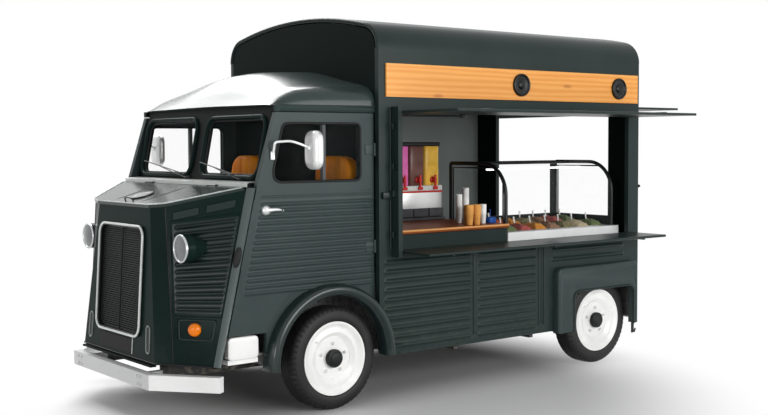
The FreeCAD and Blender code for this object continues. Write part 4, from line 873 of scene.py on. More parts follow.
def side_vents():
    """Two small mesh vents high on each nose side: a rounded frame round a woven sheet of crossed wires."""
    def vent_height(s, f):
        head = NOSE_HEAD[0, 2] + (NOSE_HEAD[1, 2] - NOSE_HEAD[0, 2]) * s
        return head - VENT_DROP + f * VENT_HEIGHT
    for side, name in SIDES:
        flat = nose_side(side)
        frame_shape, mesh_shape = Shape(), Shape()
        for s0, s1 in ((0.09, 0.43), (0.52, 0.90)):
            corners = [(s0, 0.0), (s1, 0.0), (s1, 1.0), (s0, 1.0)]
            loop = rounded_loop(corners, 0.012, 4)
            z = vent_height(loop[:, 0], loop[:, 1])
            rod(frame_shape, flat(loop[:, 0], z, np.full(len(loop), 0.0015)), 0.0024, 6, closed=True,
                up=SIDE_UP)
            u = np.linspace(s0 + 0.006, s1 - 0.006, VENT_COLUMNS)
            v = np.linspace(0.05, 0.95, VENT_ROWS)
            uu, vv = np.meshgrid(u, v, indexing="ij")
            over, under = (np.cos(np.arange(n) * math.pi) for n in (VENT_COLUMNS, VENT_ROWS))
            weave = 0.0006 + 0.0011 * (over[:, None] * under[None])
            mesh_shape.grid(flat(uu, vent_height(uu, vv), weave + 0.0012), flip=side > 0)
        make("side_vent_frames_" + name, frame_shape, "body", GREEN_GLOSS, "body_green", 60)
        make("side_vent_mesh_" + name, mesh_shape, "body", VENT_MESH, "body_green", 20, recalc=False)


def hood_top(x, y, h):
    """Points on the bonnet's sloping top, raised by h."""
    x, y, h = np.broadcast_arrays(np.asarray(x, float), y, h)
    z = NOSE_EDGE[1] + (NOSE_EDGE[0] - x) * HOOD_SLOPE + 0.0224
    return np.stack([x + h * HOOD_OUT[0], y, z + h * HOOD_OUT[1]], -1)


def hood_details():
    """Bright bead round the bonnet's edge, two pressed ridges, a cap flap and a small grab handle."""
    bead, press = Shape(), Shape()
    edge = np.array([[0.690, 0.882], [1.074, 0.548], [1.119, 0.399], [1.119, -0.399], [1.074, -0.548],
                     [0.690, -0.882]])
    dense = np.concatenate([np.linspace(a, b, 8, endpoint=False) for a, b in zip(edge, edge[1:])] +
                           [edge[-1:]])
    rod(bead, hood_top(dense[:, 0], dense[:, 1], 0.001), 0.0042, 8, up=HOOD_UP)
    make("hood_bead", bead, "hood", HOOD_BEAD, "white_paint", 60)
    for y in (-0.20, 0.20):
        line = np.linspace(0.72, 1.09, 14)
        fade = np.sin(np.linspace(0, math.pi, 14)) ** 0.3
        rod(press, hood_top(line, y * (1 + 0.25 * (1.09 - line)), -0.002), 0.009, 10, up=HOOD_UP, scale=fade,
            squash=0.6)
    make("hood_ridges", press, "hood", GREEN_GLOSS, "body_green", 60)
    cap = Shape()
    centre = hood_top(0.965, 0.0, 0.0)
    lathe(cap, [(CORE, -0.003), (0.082, -0.003), (0.082, 0.006), (0.078, 0.010), (0.066, 0.011),
                (0.060, 0.0075),
                (0.030, 0.0095), (CORE, 0.010)], centre, (HOOD_OUT[0], 0, HOOD_OUT[1]), 40)
    make("hood_cap", cap, "hood", BLACK, "black_trim", 40)
    bar = Shape()
    hold = np.array([(1.065, -0.06), (1.068, -0.058), (1.074, -0.03), (1.075, 0.0), (1.074, 0.03),
                     (1.068, 0.058),
                     (1.065, 0.06)])
    lift = np.array([0.0, 0.014, 0.022, 0.024, 0.022, 0.014, 0.0])
    rod(bar, curve_through(hood_top(hold[:, 0], hold[:, 1], lift), 26), 0.0052, 10)
    make("hood_handle", bar, "hood", GREEN_HOOD, "body_green", 60)


LAMP_R = 0.083


def headlamp_details():
    """Lamp glass as a shallow dome turned about x, in a rolled bright ring, over the lamp's cone."""
    low, high = in_truck("headlamps")
    y_out, z = high[1] - 0.092, (low[2] + high[2]) / 2
    front = high[0]
    for side, name in SIDES:
        centre = (front, side * y_out, z)
        ring, glass, shell = Shape(), Shape(), Shape()
        t = np.linspace(0, 2 * math.pi, 14, endpoint=False)
        profile = np.stack([0.0875 + 0.0085 * np.cos(t), 0.001 + 0.009 * np.sin(t)], -1)
        lathe(ring, profile, centre, (1, 0, 0), 56, closed=True)
        make("headlamp_ring_" + name, ring, "body", LAMP_RING, "chrome", 60)
        bulge = [(r, 0.003 + 0.017 * (1 - (r / LAMP_R) ** 2)) for r in np.linspace(CORE, LAMP_R, 14)]
        lathe(glass, bulge + [(LAMP_R, -0.004), (CORE, -0.004)], centre, (1, 0, 0), 56)
        make("headlamp_lens_" + name, glass, "body", CLEAR_LENS, "lamp_plastic", 50)
        a = np.linspace(0, 1, 16)
        body = np.stack([0.0935 * (1 - 0.62 * a ** 1.7), -0.004 - 0.150 * a], -1)
        lathe(shell, [(CORE, -0.003), (0.0925, -0.003)] + body.tolist() + [(CORE, -0.162)], centre, (1, 0, 0),
              56)
        make("headlamp_shell_" + name, shell, "body", GREEN_GLOSS, "body_green", 50)


def dome(r, base, rise, n):
    """Profile of a lens: a quarter ellipse from its rim to the axis."""
    return [(r * math.cos(a) + CORE, base + rise * math.sin(a)) for a in np.linspace(0, math.pi / 2, n)]


def lamp_pieces():
    """Amber turn lamps on the nose and red lamps on the rear wall: ribbed domes in thin rims."""
    for side, name in SIDES:
        flat = nose_side(side)
        at = flat(np.array([0.48]), np.array([0.640]), np.array([0.0]))[0]
        away = unit([0.66, side * 0.75, 0])
        s = Shape()
        lathe(s, [(CORE, -0.006), (0.043, -0.006), (0.043, 0.012)] + dome(0.042, 0.014, 0.026, 9), at, away,
              40)
        make("turn_lamp_" + name, s, "body", AMBER, "lamp_plastic", 50)
        rim = Shape()
        lathe(rim, [(0.042, -0.004), (0.052, -0.004), (0.052, 0.004), (0.047, 0.009), (0.0425, 0.009)], at,
              away, 40, True)
        loop = rounded_outline(0.250, 0.125, 0.018, 5)
        frame_line = flat(0.52 + loop[:, 0] * 2.9, 0.636 + loop[:, 1], np.full(len(loop), 0.0015))
        pressed = Shape()
        rod(pressed, frame_line, 0.0062, 8, closed=True, up=away)
        make("turn_lamp_panel_" + name, pressed, "body", GREEN, "body_green", 60)
        make("turn_lamp_rim_" + name, rim, "body", BLACK, "black_trim", 50)
    y = in_truck("small_lamps")[1][1] - 0.038
    for k, z in enumerate((0.480, 0.575)):
        s, rim = Shape(), Shape()
        for side in (1, -1):
            at = (BOX_REAR, side * y, z)
            lathe(s, [(CORE, 0.0), (0.0335, 0.0)] + dome(0.033, 0.014, 0.014, 8), at, (-1, 0, 0), 36)
            lathe(rim, [(0.0325, 0.001), (0.0385, 0.001), (0.0385, 0.014), (0.036, 0.019), (0.0325, 0.019)],
                  at, (-1, 0, 0), 36, True)
        make("tail_lamp_%d" % k, s, "body", (RED, AMBER)[k], "lamp_plastic", 50)
        make("tail_lamp_rim_%d" % k, rim, "body", CHROME, "chrome", 50)
    for piece in ("turn_lamp_left", "turn_lamp_right", "tail_lamp_0", "tail_lamp_1"):
        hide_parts("small_lamps")


def bumper_details():
    """Bolts on the front bumper's face, and the ledge at the nose's foot."""
    bolts = Shape()
    for y in (-0.50, -0.46, 0.44, 0.48):
        for z in (0.270, 0.325):
            lathe(bolts, [(CORE, 0), (0.012, 0), (0.012, 0.003), (0.007, 0.0045), (0.0068, 0.010),
                          (CORE, 0.0115)],
                  (1.2405, y, z), (1, 0, 0), 16)
    make("bumper_bolts", bolts, "body", STEEL, "chrome", 40)
    ledge = Shape()
    block(ledge, (1.150, -0.540, 0.383), (1.196, 0.540, 0.3975), 0.004)
    # the ledge takes the darker painted-shade green
    make("nose_foot_ledge", ledge, "body", GREEN_PAINTED_SHADE, "body_green", 40)


RIM_WHITE = enamel("rim_white", rgb(214, 219, 216), 0.3, 0.4, 0.1, 0.02)
GRILLE_BAR = enamel("grille_bar", rgb(13, 17, 17), 0.4, 0.0, 0.05, 0.02, 0.15)
APRON_BROWN = enamel("apron_dark", rgb(22, 21, 22), 0.45, 0.0, 0.05, 0.03, 0.1)
SLOT_RIM = enamel("slot_rim", rgb(96, 108, 104), 0.3, 0.3, 0.1, 0.02)
VENT_MESH = enamel("vent_mesh", rgb(38, 50, 47), 0.45, 0.0, 0.1, 0.04, 0.1)
HOOD_BEAD = enamel("hood_bead", rgb(168, 176, 173), 0.24, 0.3, 0.03, 0.01)
LAMP_RING = metal("lamp_ring", rgb(196, 199, 199), 0.16, lines=0.03)
grille_piece()
nose_front_details()
side_vents()
hood_details()
headlamp_details()
lamp_pieces()
bumper_details()


# ------------------------------------------------------------------ cab: posts, windscreen, roof, doors

def post_strips():
    """Pale strip over each corner post, ruled between door and nose, with its oval blank."""
    for side, name in SIDES:
        s = Shape()
        z = np.linspace(0.408, 1.556, 24)
        door_x = 0.620 + (1.570 - z) * (0.230 / 0.970) + 0.009
        door = np.stack([door_x, np.full_like(z, 0.9556), z], -1)
        f = (z - 0.4) / 1.1411
        nose = np.stack([0.9365 - 0.266 * f, 0.9056 - 0.0076 * f, z], -1)
        share = np.linspace(0.05, 0.97, 5)[:, None]
        grid = door[:, None] * (1 - share) + nose[:, None] * share
        out = unit(np.cross(grid[-1, 0] - grid[0, 0], grid[0, -1] - grid[0, 0]))
        out = out if out[1] > 0 else -out
        crown = 0.0016 + 0.0018 * np.sin(np.linspace(0, math.pi, 5))
        grid = grid + out * crown[None, :, None]
        rim = np.pad(grid, ((1, 1), (1, 1), (0, 0)), mode="edge")
        lift = np.full(rim.shape[:2], 1.0)
        lift[1:-1, 1:-1] = 0
        rim = rim - out * (lift * 0.004)[..., None]
        rim[..., 1] *= side
        s.grid(rim, flip=side < 0)
        make("post_strip_" + name, s, "body", PALE_STRIP, "body_green", 50)
        oval = Shape()
        t = np.arange(28) * 2 * math.pi / 28
        k = 14
        along = unit(grid[k + 1, 2] - grid[k - 1, 2])
        across = unit(grid[k, 4] - grid[k, 0])
        wide, tall = np.cos(t)[:, None] * across, np.sin(t)[:, None] * along
        rings = []
        for drawn, h in ((1.0, 0.001), (1.0, 0.010), (0.86, 0.016), (0.5, 0.018)):
            ring = grid[k, 2] + wide * 0.024 * drawn + tall * 0.068 * drawn
            rings.append((ring + out * h) * [1, side, 1])
        oval.rings(rings)
        make("post_oval_" + name, oval, "body", SOFT_BLACK, "black_trim", 50)


SCREEN_HEAD = (0.451, 2.098)        # x, z of the windscreen's upper edge
SCREEN_LEAN = 0.205
SCREEN_OUT = (0.98, 0.2)
PANE_Y, PANE_Z = 0.4625, 1.823


def screen_plane(y, s, h):
    """Windscreen plane: s is the height above the road, h the distance in front of the frame."""
    y, s, h = np.broadcast_arrays(np.asarray(y, float), s, h)
    x = SCREEN_HEAD[0] + (SCREEN_HEAD[1] - s) * SCREEN_LEAN
    return np.stack([x + h * SCREEN_OUT[0], y, s + h * SCREEN_OUT[1]], -1)


def windscreen_details():
    """Raised rounded frames round both panes, rubber inside them, wipers and the cowl strip."""
    frames, seals, rods = Shape(), Shape(), Shape()
    for middle in (PANE_Y, -PANE_Y):
        outer = rounded_outline(0.815, 0.445, 0.105, 12)

        def lay(ring, h):
            return screen_plane(middle + ring[:, 0], PANE_Z + ring[:, 1], h)
        steps = ((0.0, -0.001), (0.0, 0.006), (0.004, 0.014), (0.012, 0.019), (0.022, 0.0195), (0.030, 0.014),
                 (0.033, 0.006), (0.033, -0.030))
        frames.grid(drawn_in(outer, steps, lay), wrap_v=True)
        rod(seals, lay(inset(outer, 0.037), -0.012), 0.0068, 10, closed=True, up=(1, 0, 0.2))
    make("screen_frames", frames, "body", GREEN_GLOSS, "body_green", 45)
    make("screen_rubbers", seals, "body", SEAL, "black_trim", 60)
    for pivot, tip in (((0.655, 1.612), (0.075, 1.712)), ((-0.085, 1.610), (-0.800, 1.716))):
        hub = screen_plane(pivot[0], pivot[1] - 0.012, 0.0)
        lathe(rods, [(CORE, -0.002), (0.019, -0.002), (0.019, 0.012), (0.012, 0.020), (0.008, 0.030),
                     (CORE, 0.031)],
              hub, (SCREEN_OUT[0], 0, SCREEN_OUT[1]), 20)
        a = np.linspace(0, 1, 12)
        y = pivot[0] + (tip[0] - pivot[0]) * a * 0.62
        z = pivot[1] - 0.012 + (tip[1] - pivot[1] + 0.022) * (a * 0.62)
        rod(rods, screen_plane(y, z, 0.024 + 0.010 * np.sin(a * math.pi)), 0.0042, 8, scale=1 - 0.3 * a)
        y = pivot[0] - 0.10 + (tip[0] - pivot[0] + 0.10) * a
        z = pivot[1] + 0.022 + (tip[1] - pivot[1] - 0.022) * a
        rod(rods, screen_plane(y, z, 0.019), 0.0058, 8, squash=0.6)
    make("wipers", rods, "body", SOFT_BLACK, "black_trim", 60)
    cowl = Shape()
    u = np.linspace(-0.898, 0.898, 9)
    profile = np.array([(0.5625, 1.5795), (0.5635, 1.5885), (0.572, 1.5935), (0.610, 1.5915), (0.648, 1.5885),
                        (0.6605, 1.583),
                        (0.6615, 1.560)])
    cowl.grid(np.stack(np.broadcast_arrays(profile[:, :1], u, profile[:, 1:]), -1))
    make("cowl_strip", cowl, "body", COWL_PALE, "white_paint", 40)
    rim = Shape()
    head = np.array([[0.4535, y, 2.0985] for y in np.linspace(-0.885, 0.885, 12)])
    rod(rim, head, 0.006, 8, up=(0, 0, 1))
    make("screen_head_bead", rim, "body", GREEN_GLOSS, "body_green", 60)


ROOF_STATIONS = np.array([(0.476, 0.012, 0.890), (0.440, 0.058, 0.902), (0.380, 0.132, 0.914),
                          (0.300, 0.196, 0.924),
                          (0.220, 0.236, 0.931), (0.060, 0.268, 0.940), (-0.150, 0.284, 0.948),
                          (-0.349, 0.292, 0.9545)])
ROOF_RIB = np.array([(1.0, 0.0), (0.998, 0.10), (0.992, 0.22), (0.968, 0.36), (0.92, 0.475), (0.85, 0.545),
                     (0.74, 0.61),
                     (0.62, 0.69), (0.48, 0.79), (0.33, 0.89), (0.17, 0.97), (0.0, 1.0)])


def roof_skin(inside):
    """Cab roof surface [along, across]: half width and crest height by station, one shape of rib."""
    t = np.linspace(0, 1, 44)
    station = curve_through(ROOF_STATIONS, 44)
    half_rib = curve_through(ROOF_RIB, 34)
    rib = np.concatenate([half_rib, half_rib[::-1][1:] * [-1, 1]])
    x, crest, half = station[:, 0], station[:, 1] - inside, station[:, 2] - inside
    lift = np.maximum(crest, 0.004)[:, None] * np.maximum(rib[:, 1], 0)
    along = (x - inside * 0.8 * (t < 0.06))[:, None]
    return np.stack(np.broadcast_arrays(along, half[:, None] * rib[:, 0], 2.0982 + lift), -1)


def cab_roof_skin():
    """Smooth domed roof with its own thickness, and rain gutters along both sides."""
    outer, inner = roof_skin(0.0), roof_skin(0.020)
    loops = np.concatenate([outer, inner[:, ::-1]], 1)
    s = Shape()
    s.rings(loops)
    make("cab_roof_skin", s, "body", ROOF_GREEN, "body_green", 50)
    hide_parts("cab_roof")
    gutter = Shape()
    for side in (1, -1):
        x = np.linspace(0.462, -0.348, 26)
        y = np.interp(x, ROOF_STATIONS[::-1, 0], ROOF_STATIONS[::-1, 2]) + 0.004
        path = np.stack([x, side * y, np.full_like(x, 2.0990)], -1)
        rod(gutter, path, 0.0085, 10, up=(0, 0, 1), squash=0.75)
        low = path.copy()
        low[:, 1] = side * 0.9575
        low[:, 2] = 2.064
        rod(gutter, low[1:], 0.0048, 8, up=(0, 0, 1))
    make("cab_roof_gutters", gutter, "body", GREEN, "body_green", 60)


WINDOW_LOOP = [(-0.222, 1.588), (-0.222, 1.980), (0.416, 1.980), (0.502, 1.640), (0.470, 1.588)]
HINGES_Z = (1.120, 1.800)


def door_details():
    """Window rubber and pane channel, bright handle, hinges and a raised swage under each window."""
    for side, name in SIDES:
        body = "door_" + name
        seal, handle, hinge, swage = Shape(), Shape(), Shape(), Shape()
        loop = rounded_loop(WINDOW_LOOP, 0.045, 8)
        path = in_plane(loop, 1, side * (DOOR_SIDE + 0.0005))
        rod(seal, path, 0.0085, 8, closed=True, up=(0, 1, 0))
        rod(seal, path - [0, side * 0.036, 0], 0.0085, 8, closed=True, up=(0, 1, 0))
        make("door_window_rubber_" + name, seal, body, SEAL, "black_trim", 60)
        channel = Shape()
        block(channel, (0.064, side * 0.915, 1.592), (0.092, side * 0.9465, 1.976), 0.004)
        make("door_window_channel_" + name, channel, body, GREY_TRIM, "black_trim", 50)
        face = side * DOOR_SIDE
        lathe(handle, [(CORE, 0.0), (0.034, 0.0), (0.034, 0.006), (0.031, 0.014), (0.0295, 0.022),
                       (0.021, 0.029),
                       (0.014, 0.034), (CORE, 0.036)], (0.560, face, 1.408), (0, side, 0), 32)
        knots = [(0.560, 1.4080, 0.024), (0.530, 1.4105, 0.027), (0.500, 1.4110, 0.0265),
                 (0.465, 1.4085, 0.024),
                 (0.434, 1.4030, 0.020)]
        line = curve_through([(x, face + side * d, z) for x, z, d in knots], 22)
        rod(handle, line, 0.0135, 12, up=(0, 1, 0), scale=np.linspace(1.05, 0.62, 22), squash=0.85)
        make("door_handle_" + name, handle, body, HANDLE_WHITE, "chrome", 60)
        for z in HINGES_Z:
            for k in range(4):
                low = z - 0.045 + 0.0235 * k
                lathe(hinge, [(CORE, 0), (0.0104, 0), (0.0108, 0.002), (0.0108, 0.0175), (0.0104, 0.0195),
                              (CORE, 0.0195)],
                      (-0.3399, side * 0.962, low), (0, 0, 1), 20)
            block(hinge, (-0.336, side * 0.954, z - 0.034), (-0.262, side * 0.9605, z + 0.034), 0.006, 0.002,
                  axis=1)
        make("door_hinges_" + name, hinge, body, DOOR_GREEN, "body_green", 45)
        for z in (1.5005, 1.4885):
            x = np.linspace(-0.318, door_front(z) - 0.05, 20)
            rod(swage, np.stack([x, np.full(20, side * 0.9552), np.full(20, z)], -1), 0.0028, 8, up=(0, 0, 1))
        block(swage, (-0.31, side * 0.9552, 1.516), (-0.225, side * 0.9572, 1.530), 0.002)
        block(swage, (-0.31, side * 0.9552, 2.010), (-0.225, side * 0.9572, 2.022), 0.002)
        make("door_swage_" + name, swage, body, DOOR_GREEN, "body_green", 60)


MIRROR_Z = 1.800


def mirror_pieces():
    """Mirror head: a rounded outline drawn in along a quarter ellipse in front, with the glass behind."""
    y0, y1 = DOOR_SIDE + 0.072, DOOR_SIDE + 0.238
    middle, half = (y0 + y1) / 2, (y1 - y0) / 2
    for side, name in SIDES:
        body = "door_" + name
        shell, glass, arm = Shape(), Shape(), Shape()
        outline = rounded_outline(2 * half, 0.256, 0.066, 12)

        def lay(ring, x):
            return in_plane((ring + [middle, MIRROR_Z]) * [side, 1], 0, x)
        steps = [(0.004, 0.2555), (0.0, 0.260), (0.0, 0.278)]
        steps += [(0.050 * (1 - math.cos(a)), 0.278 + 0.034 * math.sin(a))
                  for a in np.linspace(0, math.pi / 2, 9)]
        shell.rings(drawn_in(outline, steps, lay))
        make("mirror_shell_" + name, shell, body, MIRROR_SHELL, "chrome", 50)
        glass.rings(drawn_in(outline, ((0.008, 0.2556), (0.008, 0.2545), (0.011, 0.2535)), lay))
        make("mirror_glass_" + name, glass, body, MIRROR_GLASS, "chrome", 40)
        knots = [(0.505, DOOR_SIDE + 0.010, 1.765), (0.5055, DOOR_SIDE + 0.028, 1.812),
                 (0.505, DOOR_SIDE + 0.047, 1.850),
                 (0.462, DOOR_SIDE + 0.076, 1.858), (0.420, DOOR_SIDE + 0.105, 1.858),
                 (0.365, DOOR_SIDE + 0.128, 1.840),
                 (0.309, DOOR_SIDE + 0.146, 1.816)]
        line = curve_through([(x, side * y, z) for x, y, z in knots], 40)
        rod(arm, line, 0.0082, 12)
        block(arm, (0.490, side * (DOOR_SIDE + 0.0005), 1.737), (0.520, side * (DOOR_SIDE + 0.017), 1.793),
              0.005)
        for z in (1.748, 1.782):
            lathe(arm, [(CORE, 0), (0.006, 0), (0.006, 0.004), (CORE, 0.0045)],
                  (0.505, side * (DOOR_SIDE + 0.0165), z), (0, side, 0), 12)
        lathe(arm, [(CORE, 0), (0.017, 0), (0.017, 0.010), (0.012, 0.016), (CORE, 0.017)],
              (0.308, side * (DOOR_SIDE + 0.148), 1.815), (1, 0, 0), 20)
        make("mirror_arm_" + name, arm, body, MIRROR_SHELL, "chrome", 50)
        for piece in ("mirror_shell_", "mirror_glass_", "mirror_arm_"):
            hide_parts("mirror_" + name)


def sill_details():
    """White sill plate as a softly crowned rounded panel, and ridges on the step below it."""
    low, high = in_truck("sill_panels")
    for side, name in SIDES:
        s = Shape()
        outline = rounded_outline(high[0] - low[0] - 0.002, 0.150, 0.032, 8)
        centre = np.array([(low[0] + high[0]) / 2, 0.515])
        steps = ((0.0, 0.936), (0.0, 0.9445), (0.003, 0.948), (0.012, 0.9505), (0.03, 0.9515))
        s.rings(drawn_in(outline, steps, lambda ring, y: in_plane(ring + centre, 1, side * y)))
        make("sill_face_" + name, s, "body", WHITE, "white_paint", 40)
        tread = Shape()
        for k in range(7):
            y = side * (0.72 + 0.032 * k)
            block(tread, (low[0] + 0.012, y - 0.006, 0.4415), (high[0] - 0.012, y + 0.006, 0.4475), 0.003,
                  axis=0)
        make("step_tread_" + name, tread, "body", GREY_TRIM, "black_trim", 45)


FLARE_POWER = 2.6


def fender_flares():
    """Flare over each front wheel: a section |u|^FLARE_POWER + |v|^FLARE_POWER = 1 carried round the arch."""
    for side, name in SIDES:
        s = Shape()
        a = np.linspace(-0.035, math.pi + 0.035, 60)
        t = np.linspace(0, 2 * math.pi, 26, endpoint=False)
        outwards, across = (np.sign(w) * np.abs(w) ** (2 / FLARE_POWER) * half
                            for w, half in ((np.sin(t), 0.0405), (np.cos(t), 0.080)))
        r, turn = 0.4865 + outwards, a[:, None]
        x, z = ARCH_X + np.cos(turn) * r, TYRE_R + np.sin(turn) * r
        s.rings(np.stack(np.broadcast_arrays(x, side * (0.958 + across), z), -1))
        make("fender_flare_" + name, s, "body", FLARE_GREEN, "body_green", 60)


ROOF_GREEN = enamel("roof_enamel", rgb(50, 62, 60), 0.24, 0.05, 0.02, 0.0, 0.20)
COWL_PALE = enamel("cowl_pale", rgb(206, 212, 208), 0.3, 0.4, 0.1, 0.02)
HANDLE_WHITE = metal("handle_bright", rgb(222, 225, 224), 0.18, lines=0.02, metallic=0.6)
MIRROR_SHELL = metal("mirror_shell", rgb(240, 241, 240), 0.20, lines=0.02, metallic=0.35)
post_strips()
windscreen_details()
cab_roof_skin()
door_details()
mirror_pieces()
sill_details()
fender_flares()


# ------------------------------------------------------------------ wheels and tyres

def tyre_profile():
    """Tyre section as (radius, offset outwards): bead, bulging wall, shoulder, tread and back again."""
    wall = [(0.2300, 0.0680), (0.2560, 0.0745), (0.2605, 0.0860), (0.2720, 0.0925), (0.2950, 0.0948),
            (0.3150, 0.0925),
            (0.3330, 0.0860), (0.3450, 0.0775), (0.3530, 0.0680), (0.3575, 0.0590)]
    wall = curve_through(wall, 26)
    tread = np.stack([np.full(31, 0.3592), np.linspace(0.054, -0.054, 31)], -1)
    tread[:, 0] -= 0.0012 * (tread[:, 1] / 0.054) ** 2
    other = wall[::-1] * [1, -1]
    return np.concatenate([wall, tread, other])


TYRE_POINTS, TREAD_BLOCKS = 432, 54
TREAD_FROM, TREAD_HALF = 0.3565, 0.0595
GROOVES = (-0.036, -0.0125, 0.0125, 0.036)
WALL_RINGS = (0.3040, 0.2850)


def band(distance, flank, edge):
    """1 where the distance is small, falling to 0 over a flank; edge sets how far out the fall begins."""
    return np.clip(edge - np.abs(distance) / flank, 0, 1)


def treaded_tyre(centre, side, name, body, node):
    """Tyre skin: the section turned about the axle, with zig-zag grooves, cross cuts and wall rings."""
    profile = tyre_profile()
    a = np.arange(TYRE_POINTS) * 2 * math.pi / TYRE_POINTS
    r = np.broadcast_to(profile[:, 0], (TYRE_POINTS, len(profile))).copy()
    v = np.broadcast_to(profile[:, 1], r.shape)
    on_tread = (profile[:, 0] > TREAD_FROM) & (np.abs(profile[:, 1]) < TREAD_HALF)
    phase = (a[:, None] * TREAD_BLOCKS / (2 * math.pi)) % 1.0
    zigzag = np.abs(phase - 0.5) * 0.012 - 0.003
    depth = np.zeros_like(r)
    for groove in GROOVES:
        depth = np.maximum(depth, band(v - groove - zigzag, 0.0022, 1.6) * 0.0055)
    cut = np.clip(1.5 - np.abs(phase - 0.5) * 12, 0, 1) * 0.0045
    depth = np.maximum(depth, cut * (np.abs(v) > 0.0385))
    depth = np.maximum(depth, np.clip(1.2 - np.abs(phase - 0.2) * 14, 0, 1) * 0.002 * (np.abs(v) < 0.030))
    r = r - depth * on_tread
    wall = ~on_tread
    rings = sum(0.0009 * band(profile[:, 0] - at, 0.0016, 1.4) for at in WALL_RINGS)
    r_step = np.where(wall & (np.abs(profile[:, 1]) > 0.08), rings, 0)
    v = v + np.sign(v) * r_step[None]
    lugs = np.clip(1.7 - np.abs(phase - 0.5) * 8, 0, 1) * 0.0060
    shoulder = wall & (profile[:, 0] > 0.330)
    r = r - lugs * shoulder
    x, z = centre[0] + np.sin(a)[:, None] * r, centre[2] + np.cos(a)[:, None] * r
    points = np.stack([x, centre[1] + side * v, z], -1)
    s = Shape()
    s.grid(points, wrap_u=True, wrap_v=True)
    make(name, s, body, RUBBER, "tyre", 50)
    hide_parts(node)


NUTS, NUT_CIRCLE, VALVE_R, VALVE_TURN = 5, 0.104, 0.196, 0.7


def wheel_details(centre, side, name, body):
    """Dark hub cap, five nuts on studs, a valve and two rolled rings of the disc."""
    cap, nuts, ring = Shape(), Shape(), Shape()
    hub = np.array(centre) + [0, side * 0.083, 0]
    lathe(cap, [(CORE, -0.004), (0.062, -0.024), (0.064, -0.010), (0.0635, 0.004), (0.060, 0.010),
                (0.048, 0.015),
                (0.046, 0.0215), (0.040, 0.026), (0.020, 0.0285), (CORE, 0.029)], hub, (0, side, 0), 44)
    make("hub_cap_" + name, cap, body, SOFT_BLACK, "black_trim", 30)
    for k in range(NUTS):
        a = math.pi / 2 + k * 2 * math.pi / NUTS
        at = np.array(centre) + [NUT_CIRCLE * math.cos(a), side * 0.0555, NUT_CIRCLE * math.sin(a)]
        lathe(nuts, [(CORE, 0), (0.0165, 0), (0.0165, 0.002), (0.0125, 0.004)], at, (0, side, 0), 20)
        lathe(nuts, [(CORE, 0.003), (0.0118, 0.003), (0.0118, 0.0145), (0.0095, 0.0175), (CORE, 0.0175)],
              at, (0, side, 0), 6)
        lathe(nuts, [(CORE, 0.016), (0.006, 0.016), (0.006, 0.022), (CORE, 0.0225)], at, (0, side, 0), 10)
    valve = [VALVE_R * math.cos(VALVE_TURN), side * 0.070, VALVE_R * math.sin(VALVE_TURN)]
    at = np.array(centre) + valve
    lathe(nuts, [(CORE, -0.012), (0.0048, -0.012), (0.0048, 0.012), (0.0036, 0.014), (0.0036, 0.022),
                 (CORE, 0.0225)],
          at, (0, side, 0), 12)
    make("wheel_nuts_" + name, nuts, body, WHEEL_NUT, "white_paint", 40)
    for r, out in ((0.1475, 0.0575), (0.2165, 0.0705)):
        lathe(ring, circle(0.0035, 12) + [r, out], centre, (0, side, 0), 72, closed=True)
    make("wheel_rings_" + name, ring, body, WHITE_WHEEL, "white_paint", 60)


WHEEL_NUT = enamel("wheel_nut", rgb(232, 232, 230), 0.35, 0.2, 0.05, 0.02)
for side, hand in SIDES:
    for end, x in (("front", 0.0), ("rear", REAR_X)):
        tag = end + "_" + hand
        middle = (x, side * TRACK, TYRE_R)
        treaded_tyre(middle, side, "tyre_skin_" + tag, "wheel_" + tag, "tyre_" + tag)
        wheel_details(middle, side, tag, "wheel_" + tag)


# ------------------------------------------------------------------ box fittings

def speaker_details():
    """Loudspeakers: rolled rim, sunk cone and dust cap in one turned profile, with a grey inner ring."""
    low, high = in_truck("speakers")
    z, r = (low[2] + high[2]) / 2, (high[2] - low[2]) / 2
    body, rings = Shape(), Shape()
    profile = [(CORE, 0.0), (r - 0.002, 0.0), (r, 0.003), (r, 0.013), (r - 0.003, 0.019), (r - 0.009, 0.0215),
               (r - 0.015, 0.0205), (r - 0.019, 0.016), (r - 0.023, 0.012), (r - 0.030, 0.0115),
               (0.036, 0.0035),
               (0.033, 0.004), (0.030, 0.0085), (0.021, 0.0135), (0.010, 0.0155), (CORE, 0.016)]
    for x in (low[0] + r, high[0] - r):
        for side in (1, -1):
            centre = (x, side * 1.0142, z)
            lathe(body, profile, centre, (0, side, 0), 56)
            lathe(rings, circle(0.0022, 8) + [r - 0.027, 0.0125], centre, (0, side, 0), 56, closed=True)
            for k in range(4):
                a = math.pi / 4 + k * math.pi / 2
                at = (x + (r - 0.010) * math.cos(a), side * 1.0345, z + (r - 0.010) * math.sin(a))
                lathe(rings, [(CORE, -0.002), (0.0032, -0.002), (0.0032, 0.0018), (CORE, 0.0024)], at,
                      (0, side, 0), 8)
    make("speaker_cones", body, "body", BLACK, "black_trim", 40)
    make("speaker_rings", rings, "body", GREY_TRIM, "black_trim", 40)
    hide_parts("speakers")


